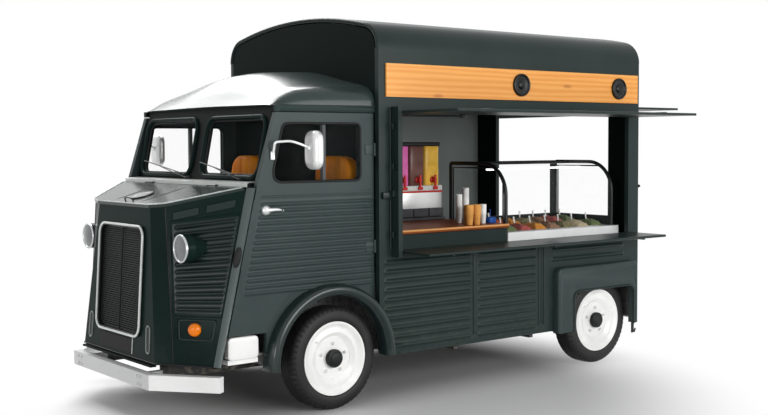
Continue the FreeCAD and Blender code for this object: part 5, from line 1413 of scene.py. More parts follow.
def case_frame():
    """Display case frame: two round-shouldered hoops, rails between them and flat stiles."""
    low, high = in_truck("display_frame")
    hoops = Shape()
    a = np.linspace(0, math.pi / 2, 14)
    y1, y0, top, base, bend = high[1] - 0.010, low[1] + 0.010, high[2] - 0.012, low[2] + 0.001, 0.250
    arc = np.stack([y1 - bend + bend * np.cos(a), top - bend + bend * np.sin(a)], -1)
    turn = np.stack([y0 + 0.02 - 0.02 * np.sin(a[::3]), top - 0.02 + 0.02 * np.cos(a[::3])], -1)
    line = np.concatenate([[(y1, base)], arc, turn, [(y0, base)]])
    for x in (low[0] + 0.0085, high[0] - 0.0085):
        rod(hoops, in_plane(line, 0, x), 0.0155, 12, up=(1, 0, 0))
        inner = line.copy()
        inner[:, 0] = np.clip(inner[:, 0], y0 + 0.032, y1 - 0.032)
        inner[:, 1] = np.minimum(inner[:, 1], top - 0.034)
        inner = inner[np.append(True, np.linalg.norm(np.diff(inner, axis=0), axis=1) > 0.004)]
        rod(hoops, in_plane(inner, 0, x), 0.0062, 8, up=(1, 0, 0))
    for y, z in ((y1 - bend, top), (y0, top)):
        rod(hoops, [(low[0] + 0.01, y, z), (high[0] - 0.01, y, z)], 0.0105, 12, up=(0, 0, 1))
    make("case_hoops", hoops, "body", BLACK, "black_trim", 50)
    flats = Shape()
    block(flats, (low[0] + 0.004, y0 - 0.008, base), (low[0] + 0.074, y0 + 0.010, top - 0.006), 0.004)
    block(flats, (low[0] + 0.004, y0 - 0.008, base), (high[0] - 0.004, y0 + 0.010, base + 0.078), 0.004,
          axis=0)
    block(flats, (low[0] + 0.002, y0, base), (low[0] + 0.018, y1 - 0.004, base + 0.078), 0.004, axis=1)
    block(flats, (high[0] - 0.022, y0 - 0.008, base), (high[0] - 0.002, y0 + 0.010, top - 0.006), 0.004)
    make("case_stiles", flats, "body", BLACK, "black_trim", 40)
    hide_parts("display_frame")
    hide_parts("display_frame")


def side_catches():
    """Small catches that hold the raised flap's stay: one by the front jamb, one at the rear corner."""
    s = Shape()
    block(s, (-0.500, 1.0, 1.452), (-0.372, 1.022, 1.500), 0.005)
    block(s, (-0.470, 1.0, 1.462), (-0.440, 1.034, 1.490), 0.004)
    lathe(s, [(CORE, 0.0), (0.013, 0.0), (0.013, 0.014), (0.0095, 0.020), (CORE, 0.021)],
          (BOX_REAR, 0.965, 1.47), (-1, 0, 0), 20)
    make("side_catches", s, "body", GREEN_RIB, "body_green", 40)


ARC_POINTS = 9


def rear_fender_skins():
    """Boxy rear fenders: the side outline with its wheel opening, drawn in towards a rounded outer edge."""
    low, high = in_truck("rear_fenders")
    a, b, top, base = low[0], high[0], high[2], low[2]
    arch0, arch1, arch_top = REAR_X - 0.330, REAR_X + 0.410, 0.645
    def loop(d):
        corners = [((b - d, base), 0.004), ((b - d, top - d), 0.060), ((a + d, top - d), 0.040),
                   ((a + d, base), 0.004), ((arch0 - d, base), 0.004), ((arch0 - d, arch_top + d), 0.075),
                   ((arch1 + d, arch_top + d), 0.075), ((arch1 + d, base), 0.004)]
        points = []
        n = len(corners)
        for k, (at, r) in enumerate(corners):
            at = np.array(at)
            before, after = np.array(corners[k - 1][0]), np.array(corners[(k + 1) % n][0])
            u, v = unit(before - at), unit(after - at)
            t = np.linspace(0, 1, ARC_POINTS)[:, None]
            start, stop = at + u * r, at + v * r
            points.append((1 - t) ** 2 * start + 2 * t * (1 - t) * at + t ** 2 * stop)
        return np.concatenate(points)
    out = high[1] - BOX_SIDE
    steps = [(0.0, 0.004), (0.0, out - 0.018), (0.002, out - 0.010), (0.006, out - 0.004), (0.013, out),
             (0.030, out),
             (0.033, out - 0.002)]
    for side, name in SIDES:
        s = Shape()
        s.rings([in_plane(loop(d), 1, side * (BOX_SIDE + out)) for d, out in [(0.0, 0.001)] + steps])
        make("rear_fender_skin_" + name, s, "body", DOOR_GREEN, "body_green", 40)
        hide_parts("rear_fenders")
        lip = Shape()
        lowest = loop(-0.001)
        line = in_plane(lowest[ARC_POINTS * 4:ARC_POINTS * 8], 1, side * (high[1] + 0.001))
        rod(lip, line, 0.0065, 10, up=(0, side, 0))
        make("rear_fender_lip_" + name, lip, "body", GREEN, "body_green", 60)


def serving_details():
    """Stay rail under the lintel, rolled edges of the flap and the shelf, and plates on the jamb."""
    rail = Shape()
    low, high = in_truck("serving_flap")
    rod(rail, [(-0.52, 0.985, 2.041), (-1.16, 0.985, 2.041)], 0.008, 10)
    block(rail, (-0.515, 0.974, 2.028), (-0.545, 0.996, 2.056), 0.004)
    block(rail, (-1.135, 0.974, 2.028), (-1.165, 0.996, 2.056), 0.004)
    make("lintel_rail", rail, "body", BLACK, "black_trim", 50)
    edge = Shape()
    y = high[1] - 0.004
    z = (low[2] + high[2]) / 2
    rod(edge, [(low[0] + 0.006, y, z), (high[0] - 0.006, y, z)], 0.0105, 10)
    for x in (low[0] + 0.35, (low[0] + high[0]) / 2, high[0] - 0.35):
        block(edge, (x - 0.02, 1.055, z + 0.008), (x + 0.02, high[1] - 0.03, z + 0.016), 0.004, axis=2)
    make("flap_edge", edge, "serving_flap", GREEN, "body_green", 50)
    low, high = in_truck("serving_shelf")
    edge = Shape()
    z = (low[2] + high[2]) / 2
    rod(edge, [(low[0] + 0.006, high[1] - 0.004, z), (high[0] - 0.006, high[1] - 0.004, z)], 0.0105, 10)
    for x in (low[0] + 0.25, (low[0] + high[0]) / 2, high[0] - 0.25):
        block(edge, (x - 0.012, 1.062, z - 0.022), (x + 0.012, high[1] - 0.02, z - 0.008), 0.003, axis=0)
    make("shelf_edge", edge, "serving_shelf", GREEN, "body_green", 50)
    jamb = Shape()
    low, high = in_truck("serving_jamb")
    for z in (1.20, 1.68, 1.96):
        block(jamb, (high[0] - 0.001, 1.022, z - 0.022), (high[0] + 0.004, 1.054, z + 0.022), 0.004, axis=0)
        for d in (-0.012, 0.012):
            lathe(jamb, [(CORE, 0), (0.004, 0), (0.003, 0.0022), (CORE, 0.0026)],
                  (high[0] + 0.004, 1.038, z + d), (1, 0, 0), 8)
    rod(jamb, [(high[0] - 0.006, 1.0085, 1.10), (high[0] - 0.006, 1.0085, 2.09)], 0.0045, 8)
    make("jamb_plates", jamb, "body", GREEN, "body_green", 40)


def rear_details():
    """Blank plate, reflectors and brackets, the rear shelf and hatch's fittings, the staff door's handle."""
    wall = in_truck("rear_wall")[0][0]
    bits, plates, red = Shape(), Shape(), Shape()
    block(plates, (wall - 0.010, -0.260, 0.500), (wall - 0.004, 0.260, 0.610), 0.012, 0.0015, axis=0)
    block(bits, (wall - 0.005, -0.268, 0.492), (wall - 0.001, 0.268, 0.618), 0.014, 0.0015, axis=0)
    for y in (-0.19, 0.19):
        lathe(bits, [(CORE, 0), (0.006, 0), (0.0045, 0.003), (CORE, 0.004)], (wall - 0.010, y, 0.590),
              (-1, 0, 0), 10)
    block(bits, (wall - 0.040, -0.075, 0.622), (wall - 0.002, 0.075, 0.646), 0.006, axis=0)
    for side in (1, -1):
        lathe(red, [(CORE, 0), (0.030, 0), (0.030, 0.005), (0.026, 0.008), (CORE, 0.0095)],
              (wall, side * 0.80, 0.528), (-1, 0, 0), 28)
        block(bits, (-3.128, side * 0.972, 0.215), (-3.100, side * 0.984, 0.345), 0.003, axis=1)
        rod(bits, [(-3.114, side * 0.978, 0.240), (-3.140, side * 0.978, 0.222),
                   (-3.150, side * 0.978, 0.250)], 0.007, 8)
    make("rear_brackets", bits, "body", SOFT_BLACK, "black_trim", 40)
    make("rear_plate_blank", plates, "body", WHITE, "white_paint", 40)
    make("rear_reflectors", red, "body", RED, "lamp_plastic", 40)
    low, high = in_truck("rear_shelf")
    t = Shape()
    out = low[0]
    for y in (-0.62, 0.62):
        block(t, (out - 0.010, y - 0.030, low[2] + 0.030), (out + 0.0005, y + 0.030, low[2] + 0.085), 0.006,
              axis=0)
        rod(t, [(out - 0.012, y - 0.018, low[2] + 0.060), (out - 0.012, y + 0.018, low[2] + 0.060)], 0.005, 8)
    rod(t, [(out + 0.004, low[1] + 0.004, low[2] + 0.004), (out + 0.004, high[1] - 0.004, low[2] + 0.004)],
        0.006, 8)
    make("rear_shelf_latches", t, "rear_shelf", GREY_TRIM, "black_trim", 40)
    low, high = in_truck("rear_hatch")
    t = Shape()
    z = (low[2] + high[2]) / 2
    rod(t, [(low[0] + 0.004, -0.90, z), (low[0] + 0.004, 0.90, z)], 0.009, 8)
    for y in (-0.55, 0.0, 0.55):
        block(t, (low[0] + 0.03, y - 0.02, high[2] - 0.001), (high[0] - 0.05, y + 0.02, high[2] + 0.006),
              0.004)
    make("rear_hatch_edge", t, "rear_hatch", GREEN, "body_green", 40)
    grip = Shape()
    x, y = -1.965, -BOX_SIDE
    block(grip, (-1.985, y - 0.010, 1.16), (-1.945, y + 0.001, 1.30), 0.008, axis=1)
    rod(grip, curve_through([(x, y - 0.008, 1.28), (x, y - 0.034, 1.272), (x, y - 0.036, 1.23),
                             (x, y - 0.034, 1.188), (x, y - 0.008, 1.18)], 20), 0.006, 8)
    make("staff_door_handle", grip, "staff_door", CHROME, "chrome", 50)


def roof_edge_bead():
    """Round bead carried along the outer edge of the roof's cross-section at both end walls."""
    low, high = in_truck("box_roof")
    s = Shape()
    verts = np.empty(len(NODES["box_roof"].data.vertices) * 3)
    NODES["box_roof"].data.vertices.foreach_get("co", verts)
    verts = verts.reshape(-1, 3) - ORIGIN
    for x, inward in ((high[0], -1), (low[0], 1)):
        rim = verts[np.abs(verts[:, 0] - x) < 0.002][:, 1:]
        way = np.arctan2(rim[:, 1] - 1.6, rim[:, 0])
        outer = []
        for k in np.argsort(way):
            while len(outer) > 1 and np.cross(rim[outer[-1]] - rim[outer[-2]],
                                              rim[k] - rim[outer[-1]]) <= 1e-9:
                outer.pop()
            outer.append(k)
        line = rim[outer]
        run = np.append(0, np.cumsum(np.linalg.norm(np.diff(line, axis=0), axis=1)))
        apart = np.append(True, np.diff(run) > 1e-5)
        line, run = line[apart], run[apart]
        at = np.linspace(run[0], run[-1], 80)
        line = np.stack([np.interp(at, run, line[:, 0]), np.interp(at, run, line[:, 1])], -1)
        along = np.gradient(line, axis=0)
        inwards = np.stack([-along[:, 1], along[:, 0]], -1) / np.linalg.norm(along, axis=1, keepdims=True)
        line = line + inwards * 0.0115
        rod(s, in_plane(line, 0, x + inward * 0.003), 0.0125, 10, up=(1, 0, 0))
    make("roof_edge_bead", s, "body", GREEN, "body_green", 60)


speaker_details()
case_frame()
rear_fender_skins()
side_catches()
serving_details()
rear_details()
roof_edge_bead()


# ------------------------------------------------------------------ seats

def pad_start(low, high, r):
    """Start shape of a pad: a rounded block whose sides pull in between its corners, on a close grid."""
    low, high = np.array(low), np.array(high)
    size, middle = high - low, (low + high) / 2
    outline = rounded_outline(size[0], size[1], r, 8)
    steps = [(0.020 * (1 - math.sqrt(max(0.0, 1 - max(0, (abs(k) - 0.55) / 0.45) ** 2))) + 0.001,
              k * size[2] / 2)
             for k in np.linspace(-1, 1, 15)]
    return drawn_in(outline, steps, lambda ring, z: in_plane(ring, 2, z) + middle)


VOXEL, PRESSURE, CLOTH_FRAMES = 0.0085, 4.0, 20
PAD_CAP = 0.008
STITCHES, STITCH_DEPTH, STITCH_WIDTH = (-0.14, -0.047, 0.047, 0.14), 0.0055, 0.0075


def swell(piece, cap):
    """Remeshes the pad evenly and moves it by cloth pressure from inside, each point by cap at most."""
    remesh = piece.modifiers.new("even", "REMESH")
    remesh.mode = "VOXEL"
    remesh.voxel_size = VOXEL
    bpy.context.view_layer.objects.active = piece
    bpy.ops.object.modifier_apply(modifier=remesh.name)
    count = len(piece.data.vertices)
    start = np.empty(count * 3)
    piece.data.vertices.foreach_get("co", start)
    cloth = piece.modifiers.new("fill", "CLOTH")
    cloth.settings.use_pressure = True
    cloth.settings.uniform_pressure_force = PRESSURE
    cloth.settings.effector_weights.gravity = 0.0
    cloth.point_cache.frame_start = 1
    cloth.point_cache.frame_end = CLOTH_FRAMES
    for frame_number in range(1, CLOTH_FRAMES + 1):
        bpy.context.scene.frame_set(frame_number)
    held = piece.evaluated_get(bpy.context.evaluated_depsgraph_get())
    moved = np.empty(count * 3)
    held.to_mesh().vertices.foreach_get("co", moved)
    held.to_mesh_clear()
    piece.modifiers.remove(cloth)
    bpy.context.scene.frame_set(1)
    step = (moved - start).reshape(-1, 3)
    length = np.linalg.norm(step, axis=1, keepdims=True)
    step = step * np.minimum(1, cap / np.maximum(length, 1e-9))
    start = (start.reshape(-1, 3) + step).ravel()
    piece.data.vertices.foreach_set("co", start)
    piece.data.update()


def channels(piece, axis, centres, depth, width, face_axis, face_sign):
    """Sewn channels: points on one face go down by depth exp(-(d / width)^2) along each stitched line."""
    count = len(piece.data.vertices)
    points, normals = np.empty(count * 3), np.empty(count * 3)
    piece.data.vertices.foreach_get("co", points)
    piece.data.vertices.foreach_get("normal", normals)
    points, normals = points.reshape(-1, 3), normals.reshape(-1, 3)
    facing = smooth_step(normals[:, face_axis] * face_sign, 0.35, 0.85)
    for centre in centres:
        d = points[:, axis] - centre
        points -= normals * (depth * np.exp(-(d / width) ** 2) * facing)[:, None]
    piece.data.vertices.foreach_set("co", points.ravel())
    piece.data.update()


def seat_pads():
    """Cushions and backrests of the seats: swelled leathercloth pads with sewn channels."""
    low, high = in_truck("seat_pads")
    rear, top, seat_y = low[0], low[2], high[1] - 0.245
    made = []
    for side, name in SIDES:
        y = side * seat_y
        for part, box_low, box_high, face in (
                ("cushion", (rear + 0.140, y - 0.234, top + 0.006), (high[0] - 0.010, y + 0.234, top + 0.098),
                 2),
                ("back", (rear + 0.010, y - 0.234, top + 0.130), (rear + 0.108, y + 0.234, high[2] - 0.008),
                 0)):
            s = Shape()
            if part == "cushion":
                s.rings(pad_start(box_low, box_high, 0.075))
            else:
                turned = pad_start(np.roll(box_low, -1), np.roll(box_high, -1), 0.150)
                s.rings(np.roll(turned, 1, -1))
            piece = make("seat_%s_%s" % (part, name), s, "body", SEAT_HIDE, "seat_fabric", 180)
            swell(piece, PAD_CAP)
            centre = ORIGIN[1] + y
            channels(piece, 1, [centre + d for d in STITCHES], STITCH_DEPTH, STITCH_WIDTH, face, 1)
            smoother = piece.modifiers.new("even_out", "SMOOTH")
            smoother.factor = 0.5
            smoother.iterations = 2
            shade(piece.data, 180)
            made.append(piece)
    for piece in made:
        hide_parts("seat_pads")


seat_pads()


# ------------------------------------------------------------------ kitchen

def lining_sheets():
    """Thin laminate sheets inside the box: right, front and rear walls round their openings, and ceiling."""
    s = Shape()
    inner, jamb, half = -0.960, 0.703, 0.955      # right wall's face, side of the openings, half width inside
    for x0, x1, z0, z1 in ((-0.392, -1.392, 0.404, 2.50), (-2.048, -3.108, 0.785, 2.50),
                           (-1.392, -2.048, 2.028, 2.50)):
        block(s, (x0, inner, z0), (x1, inner + 0.003, z1), 0.001, axis=1)
    block(s, (-0.3905, -half, 0.875), (-0.3935, half, 2.50), 0.001, axis=0)
    # the sheets on the rear opening's two jambs take the painted-shade green: near-black, for the shade that
    # falls on them
    posts = Shape()
    for k, (y0, y1, z0, z1) in enumerate(((-half, -jamb, 0.79, 2.45), (jamb, half, 0.79, 2.45),
                                          (-jamb, jamb, 2.084, 2.45), (-jamb, jamb, 0.404, 1.076))):
        block(posts if k < 2 else s, (-3.1095, y0, z0), (-3.1065, y1, z1), 0.001, axis=0)
    make("box_lining", s, "body", LINING, "body_green", 40)
    make("post_lining_painted_shade", posts, "body", GREEN_PAINTED_SHADE, "body_green", 40)
    roof = Shape()
    t = np.linspace(-1, 1, 41)
    y = t * 0.953
    z = 2.752 - 0.094 * t ** 2 - 0.24 * np.abs(t) ** 9
    x = np.linspace(-0.392, -3.108, 6)
    sheet = np.stack(np.broadcast_arrays(x[:, None], y, z), -1)
    roof.grid(sheet, flip=True)
    roof.grid(sheet + [0, 0, 0.003])
    make("box_ceiling", roof, "body", LINING, "body_green", 60)


def worktop_details():
    """Pale wooden nosing along the worktop's customer edge."""
    low, high = in_truck("counter_top")
    s = Shape()
    y = high[1]
    t = np.linspace(-math.pi / 2, math.pi / 2, 11)
    outline = np.stack([0.006 * np.cos(t), 0.0085 * np.sin(t)], -1)
    outline = np.concatenate([outline, [[-0.002, 0.0085], [-0.002, -0.0085]]])
    x = np.linspace(low[0] + 0.004, high[0] - 0.045, 12)
    s.rings(np.stack(np.broadcast_arrays(x[:, None], y - 0.001 + outline[:, 0],
                                         high[2] - 0.0080 + outline[:, 1]), -1))
    make("worktop_nosing", s, "body", EDGE_WOOD, "wood", 40)


def drinks_detail():
    """Drinks dispenser: lid, three tanks, taps with paddles, a pale band with a red line, drawers, foot."""
    low, high = in_truck("drinks_machine")
    z, x0, x1, y0, y1 = low[2], low[0], high[0], low[1], high[1]
    body, band, drawers, taps, lid, red = [Shape() for _ in range(6)]
    tanks = [Shape() for _ in range(3)]
    block(drawers, (x0, y0, z + 0.001), (x1, y1, z + 0.024), 0.008, 0.004)
    block(body, (x0 + 0.012, y0, z + 0.024), (x1 - 0.012, y1 - 0.032, z + 0.240), 0.012, 0.006)
    block(band, (x0 + 0.010, y0 + 0.01, z + 0.240), (x1 - 0.010, y1 - 0.028, z + 0.284), 0.010, 0.006)
    block(red, (x0 + 0.009, y0 + 0.01, z + 0.226), (x1 - 0.009, y1 - 0.0285, z + 0.2405), 0.008, 0.003)
    step = (x1 - x0 - 0.024) / 3
    for k, tank in enumerate(tanks):
        left = x0 + 0.012 + step * k
        centre = left + step / 2
        block(drawers, (left + 0.004, y1 - 0.036, z + 0.030), (left + step - 0.004, y1 - 0.006, z + 0.098),
              0.008, 0.005, axis=1)
        block(drawers, (centre - 0.03, y1 - 0.008, z + 0.080), (centre + 0.03, y1 - 0.001, z + 0.087), 0.003)
        block(tank, (left + 0.003, y0 + 0.040, z + 0.284), (left + step - 0.003, y1 - 0.060, z + 0.606),
              0.024, 0.006)
        lathe(taps, [(CORE, 0), (0.026, 0), (0.026, 0.010), (0.018, 0.014), (0.014, 0.042), (CORE, 0.043)],
              (centre, y1 - 0.060, z + 0.330), (0, 1, 0), 20)
        block(taps, (centre - 0.009, y1 - 0.028, z + 0.262), (centre + 0.009, y1 - 0.014, z + 0.372), 0.004)
        block(taps, (centre - 0.024, y1 - 0.024, z + 0.250), (centre + 0.024, y1 - 0.012, z + 0.276), 0.005)
        for d in np.linspace(-0.06, 0.06, 5):
            block(band, (centre + d - 0.004, y1 - 0.030, z + 0.246),
                  (centre + d + 0.004, y1 - 0.025, z + 0.278), 0.002)
    block(lid, (x0 + 0.001, y0 + 0.030, z + 0.606), (x1 - 0.001, y1 - 0.055, z + 0.639), 0.02, 0.010)
    made = [("drinks_body", body, STEEL, "stainless"), ("drinks_band", band, PANEL_WHITE, "stainless"),
            ("drinks_drawers", drawers, DRAWER_GREY, "black_trim"),
            ("drinks_taps", taps, TAP_RED, "lamp_plastic"),
            ("drinks_lid", lid, SOFT_BLACK, "black_trim"), ("drinks_red_line", red, TAP_RED, "lamp_plastic")]
    made += [("drinks_tank_" + word, tank, finish, "lamp_plastic")
             for word, tank, finish in zip(("yellow", "brown", "pink"), tanks,
                                           (DRINK_YELLOW, DRINK_BROWN, DRINK_PINK))]
    for name, shape, finish, slot in made:
        make(name, shape, "body", finish, slot, 45)
        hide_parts("drinks_machine")


def cup_stack(shape, x, y, z, count, r, first):
    """Nested paper cups: the first cup's cone, then a rolled rim and a short wall for each cup above it."""
    pitch = 0.0095
    profile = [(CORE, 0.001), (r * 0.72, 0.001), (r * 0.74, 0.003)]
    for k in range(count):
        edge = first + k * pitch
        profile += [(r * 0.965, edge - 0.0055), (r * 1.0, edge - 0.004), (r * 1.02, edge - 0.0015),
                    (r * 0.985, edge)]
    profile += [(r * 0.93, edge - 0.004), (r * 0.74, edge - first * 0.7), (CORE, edge - first * 0.7)]
    lathe(shape, profile, (x, y, z), (0, 0, 1), 26)


def cups_and_tray():
    """Stacks of paper cups on the worktop, and a small blue tub with its spoon."""
    top = in_truck("counter_top")[1][2]
    white, craft, blue = Shape(), Shape(), Shape()
    cup_stack(white, -1.452, 0.610, top, 17, 0.0255, 0.075)
    cup_stack(white, -1.542, 0.590, top, 22, 0.0265, 0.075)
    cup_stack(craft, -1.363, 0.828, top, 8, 0.0335, 0.088)
    cup_stack(craft, -1.436, 0.833, top, 8, 0.0335, 0.088)
    cup_stack(craft, -1.425, 0.742, top, 7, 0.0335, 0.088)
    cup_stack(white, -1.560, 0.770, top, 8, 0.0265, 0.084)
    block(blue, (-1.675, 0.735, top + 0.001), (-1.600, 0.805, top + 0.046), 0.014, 0.005)
    lathe(blue, [(CORE, 0), (0.0035, 0), (0.0035, 0.060), (0.008, 0.066), (CORE, 0.068)],
          (-1.64, 0.77, top + 0.044),
          (0.15, 0.1, 0.97), 10)
    make("cups_white", white, "body", CUP_WHITE, "white_panel", 50)
    make("cups_craft", craft, "body", CUP_CRAFT, "wood", 50)
    make("tub_blue", blue, "body", TUB_BLUE, "lamp_plastic", 50)


def display_fill():
    """Two rows of pans heaped with food, a spatula in every heap, the well's front rim and a tube light."""
    low, high = in_truck("display_base")
    x_front, x_rear = high[0], low[0]
    top = high[2]
    pans, tools = Shape(), Shape()
    heaps = {}
    columns = 7
    step = (x_front - x_rear - 0.13) / columns
    order = (("green", "red", "orange", "brown", "olive", "cream", "green"),
             ("cream", "tomato", "orange", "olive", "brown", "red", "green"))
    for row, (y0, y1, tier) in enumerate(((high[1] - 0.345, high[1] - 0.082, 0.004),
                                          (low[1] + 0.072, high[1] - 0.360, 0.022))):
        for k in range(columns):
            xb = x_front - 0.062 - step * (k + 1) + 0.006
            xa = x_front - 0.062 - step * k - 0.006
            middle = np.array([(xa + xb) / 2, (y0 + y1) / 2])
            outline = rounded_outline(abs(xa - xb), y1 - y0, 0.03, 6)
            steps = ((0.0, -0.040), (0.0, -0.002), (0.006, -0.002), (0.009, -0.008), (0.016, -0.060))
            pans.grid(drawn_in(outline, steps, lambda ring, z: in_plane(ring + middle, 2, top + tier + z)),
                      wrap_v=True, flip=True)
            pans.faces.append([pans.count - len(outline) + i for i in range(len(outline))][::-1])
            u = np.linspace(0.001, 1, 11)
            edge = inset(outline, 0.011)
            seed = row * 7 + k
            rings = []
            for s in u[::-1]:
                ring = edge * s
                bumps = 0.007 * np.sin(ring[:, 0] * 95 + seed) * np.cos(ring[:, 1] * 83 + 2 * seed) + \
                    0.004 * np.sin(ring[:, 0] * 210 + seed * 3) * np.sin(ring[:, 1] * 190)
                z = top + tier - 0.006 + 0.050 * (1 - s ** 2.6) + bumps * (1 - s ** 4)
                rings.append(np.column_stack([ring + middle, z]))
            shape = heaps.setdefault(order[row][k], Shape())
            shape.rings(rings)
            base = np.array([middle[0] + 0.01 * math.sin(seed * 1.7), middle[1] - 0.02, top + tier + 0.030])
            tip = base + [0.006 * math.sin(seed), -0.012, 0.068]
            rod(tools, np.linspace(base, tip, 5), 0.0062, 8, scale=[0.8, 0.85, 0.9, 1.15, 1.3], squash=0.7)
    make("display_pans", pans, "body", STEEL, "stainless", 40, recalc=False)
    for colour, shape in heaps.items():
        make("food_" + colour, shape, "body", FOOD[colour], "lamp_plastic", 60)
    make("display_spatulas", tools, "body", CUP_WHITE, "white_panel", 60)
    rim = Shape()
    block(rim, (x_rear + 0.001, high[1] - 0.070, top - 0.001),
          (x_front - 0.001, high[1] + 0.001, top + 0.0035), 0.004, 0.0018)
    make("display_front_rim", rim, "body", STEEL, "stainless", 40)
    tube = Shape()
    y = 0.552
    rod(tube, [(x_front - 0.10, y, 1.628), (x_rear + 0.10, y, 1.634)], 0.0075, 14)
    make("display_tube", tube, "body", TUBE_LIGHT, "white_panel", 60)


CUP_WHITE = moulded("paper_white", rgb(236, 236, 234), 0.55, 90)
CUP_CRAFT = moulded("paper_craft", rgb(222, 160, 84), 0.6, 60)
TUB_BLUE = moulded("tub_blue", rgb(24, 78, 160), 0.35)
DRAWER_GREY = moulded("drawer_grey", rgb(66, 67, 70), 0.45)
DRINK_PINK = moulded("drink_pink", rgb(222, 108, 176), 0.16, 20)
DRINK_BROWN = moulded("drink_brown", rgb(102, 66, 58), 0.16, 20)
DRINK_YELLOW = moulded("drink_yellow", rgb(226, 178, 66), 0.16, 20)
TAP_RED = moulded("tap_red", rgb(196, 36, 30), 0.3, 90)
FOOD = {
    "green": mottled("salad_green", rgb(92, 112, 58), rgb(128, 138, 92), 60),
    "red": mottled("berries_red", rgb(168, 62, 62), rgb(196, 104, 90), 70),
    "tomato": mottled("tomato_dice", rgb(190, 78, 50), rgb(214, 120, 84), 75),
    "orange": mottled("carrot_orange", rgb(214, 128, 30), rgb(232, 162, 70), 80),
    "olive": mottled("olive_mix", rgb(120, 112, 74), rgb(150, 140, 104), 65),
    "brown": mottled("mushroom_brown", rgb(132, 92, 68), rgb(170, 130, 100), 60),
    "cream": mottled("cheese_cream", rgb(196, 176, 140), rgb(214, 200, 170), 65),
}
lining_sheets()
worktop_details()
drinks_detail()
cups_and_tray()
display_fill()


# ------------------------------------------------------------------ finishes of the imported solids

SOLID_FINISH = {
    GREEN: ["cab_roof", "box_roof", "rear_wall", "side_wall_left", "side_wall_right",
            "serving_flap", "serving_shelf", "rear_hatch", "rear_shelf", "staff_door", "serving_jamb"],
    DOOR_GREEN: ["door_left", "door_right", "front_fenders", "rear_fenders"],
    GREEN_GLOSS: ["nose_shell", "headlamps"],
    GREEN_HOOD: ["hood"],
    WHITE: ["rear_bumper", "sill_panels"],
    CHASSIS: ["chassis_frame", "front_axle", "rear_axle", "exhaust", "knuckle_left", "knuckle_right",
              "seat_frames"],
    IRON: ["engine"],
    BLACK: ["grille", "display_frame", "speakers"],
    SOFT_BLACK: ["dashboard", "steering_wheel"],
    PLATE_ALU: ["box_floor", "cab_floor"],
    CAB_GREEN_SHADED_FRONT: ["cab_shell"],
    CABINET: ["cabinets"],
    BUMPER_SHADED_FRONT: ["front_bumper"],
    # the box's front wall takes the darker painted-shade green
    GREEN_PAINTED_SHADE: ["front_wall"],
    COUNTER_WOOD: ["counter_top"],
    WOOD: ["sign_boards"],
    TRAY: ["display_base"],
    STEEL: ["drinks_machine"],
    CHROME: ["mirror_left", "mirror_right"],
    GLASS: ["windscreen", "door_glass_left", "door_glass_right"],
    CASE_GLASS: ["display_glass"],
    AMBER: ["small_lamps"],
    SEAT_HIDE: [n for n in NODES if n.startswith("seat_") and n != "seat_frames"],
    WHITE_WHEEL: [n for n in NODES if n.startswith("wheel_")],
    RUBBER: [n for n in NODES if n.startswith("tyre_")],
}
for finish, names in SOLID_FINISH.items():
    for name in names:
        slots = NODES[name].data.materials
        slots.clear()
        slots.append(finish)


# ------------------------------------------------------------------ stage, lamps and camera

def seen_directly(tree):
    """1 for camera, mirror and see-through rays, 0 for the rays that gather light."""
    path = tree.nodes.new("ShaderNodeLightPath")
    last = path.outputs["Is Camera Ray"]
    for kind in ("Is Glossy Ray", "Is Transmission Ray"):
        either = tree.nodes.new("ShaderNodeMath")
        either.operation = "MAXIMUM"
        tree.links.new(last, either.inputs[0])
        tree.links.new(path.outputs[kind], either.inputs[1])
        last = either.outputs[0]
    return last


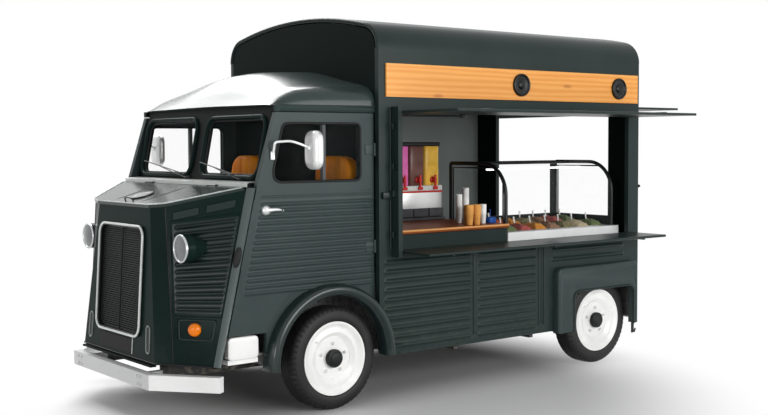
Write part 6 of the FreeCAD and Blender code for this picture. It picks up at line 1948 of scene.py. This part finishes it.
def floor_and_backdrop():
    """Pale floor under a world seen white: darker close under the truck by a painted shadow, white in the
    distance.
    """
    mesh = bpy.data.meshes.new("floor")
    mesh.from_pydata([[-90, -90, 0], [90, -90, 0], [90, 90, 0], [-90, 90, 0]], [], [[0, 1, 2, 3]])
    floor = bpy.data.objects.new("floor", mesh)
    bpy.context.scene.collection.objects.link(floor)
    f = Finish("pale_floor", Base_Color=(0.86, 0.86, 0.86), Roughness=0.9, Specular_IOR_Level=0.05)
    reach = f.add("ShaderNodeVectorMath", {"operation": "LENGTH"}, {0: f.place()}, out=1)
    direct = Value(f, seen_directly(f.tree))
    along, across = (f.axis(i, f.place()) - float(ORIGIN[i]) for i in (0, 1))
    aside = across.math("ABSOLUTE", across, 0.0)
    from_nose = ((along - 0.2) ** 2 + aside ** 2) ** 0.5
    far = reach.math("MAXIMUM", reach.between(*FLOOR_FADE), from_nose.between(*NOSE_FADE)) * direct
    # painted shadow: 0 close under the truck, 1 where the floor is clear of it
    clear = reach.math("MAXIMUM", aside.between(*PAINTED_SHADOW_ASIDE), along.between(*PAINTED_SHADOW_AHEAD))
    clear = reach.math("MAXIMUM", clear, (0.0 - along).between(*PAINTED_SHADOW_BEHIND))
    glow = f.add("ShaderNodeEmission", None, {"Color": (1, 1, 1, 1), "Strength": 1.0})
    dark = f.add("ShaderNodeEmission", None, {"Color": (0, 0, 0, 1), "Strength": 0.0})
    # painted shadow: for direct rays the floor is mixed half with black close under the truck
    painted_shadow = f.add("ShaderNodeMixShader", None, {0: (1.0 - clear) * direct * 0.5,
                                               1: Value(f, f.shader.outputs[0]), 2: dark})
    both = f.add("ShaderNodeMixShader", None, {0: far, 1: painted_shadow, 2: glow})
    f.tree.links.new(both.socket, f.tree.nodes["Material Output"].inputs["Surface"])
    mesh.materials.append(f.material)
    world = bpy.data.worlds.new("studio")
    bpy.context.scene.world = world
    world.use_nodes = True
    tree = world.node_tree
    back = tree.nodes["Background"]
    level = tree.nodes.new("ShaderNodeMapRange")
    tree.links.new(seen_directly(tree), level.inputs["Value"])
    level.inputs["To Min"].default_value = WORLD_LIGHT
    level.inputs["To Max"].default_value = 1.0
    back.inputs["Color"].default_value = (1, 1, 1, 1)
    tree.links.new(level.outputs[0], back.inputs["Strength"])


def soft_lamp(name, at, towards, size, power):
    """Rectangular soft lamp aimed at a point, in truck coordinates."""
    data = bpy.data.lights.new(name, "AREA")
    data.shape = "RECTANGLE"
    data.size, data.size_y = size
    data.energy = power
    lamp = bpy.data.objects.new(name, data)
    bpy.context.scene.collection.objects.link(lamp)
    place = np.array(at) + ORIGIN
    lamp.location = place
    lamp.rotation_euler = Vector(unit(np.array(towards) + ORIGIN - place)).to_track_quat("-Z", "Y").to_euler()


FLOOR_FADE, NOSE_FADE = (2.4, 4.6), (2.4, 3.85)     # distances over which the floor turns white
PAINTED_SHADOW_ASIDE, PAINTED_SHADOW_AHEAD, PAINTED_SHADOW_BEHIND = (0.50, 1.25), (0.3, 1.1), (2.9, 3.6)      # where the painted shadow under the truck ends
WORLD_LIGHT = 0.28
floor_and_backdrop()
soft_lamp("high_lamp", (-0.6, -6.5, 7.5), (-0.6, 0.0, 0.5), (9, 5), 1150)
soft_lamp("nose_lamp", (8.6, 3.4, 1.9), (1.9, 0.6, 0.9), (1.6, 1.1), 125)
soft_lamp("side_lamp", (-2.0, 9.0, 2.7), (-1.0, 0.0, 1.3), (8, 3), 540)

CAMERA_AT, LENS = (4.552, 7.294, 1.831), 53.41
YAW, PITCH, ROLL = math.radians(-128.159), math.radians(3.137), math.radians(-0.293)
view = bpy.data.cameras.new("camera")
view.sensor_width, view.lens = 36.0, LENS
camera = bpy.data.objects.new("camera", view)
bpy.context.scene.collection.objects.link(camera)
camera.location = np.array(CAMERA_AT) + ORIGIN
ahead = Vector((math.cos(PITCH) * math.cos(YAW), math.cos(PITCH) * math.sin(YAW), -math.sin(PITCH)))
right = ahead.cross(Vector((0, 0, 1))).normalized()
above = right.cross(ahead)
turned = Matrix((right, above, -ahead)).transposed().to_4x4()
camera.rotation_euler = (turned @ Matrix.Rotation(ROLL, 4, "Z")).to_euler()
bpy.context.scene.camera = camera
bpy.context.scene.view_settings.view_transform = "Standard"
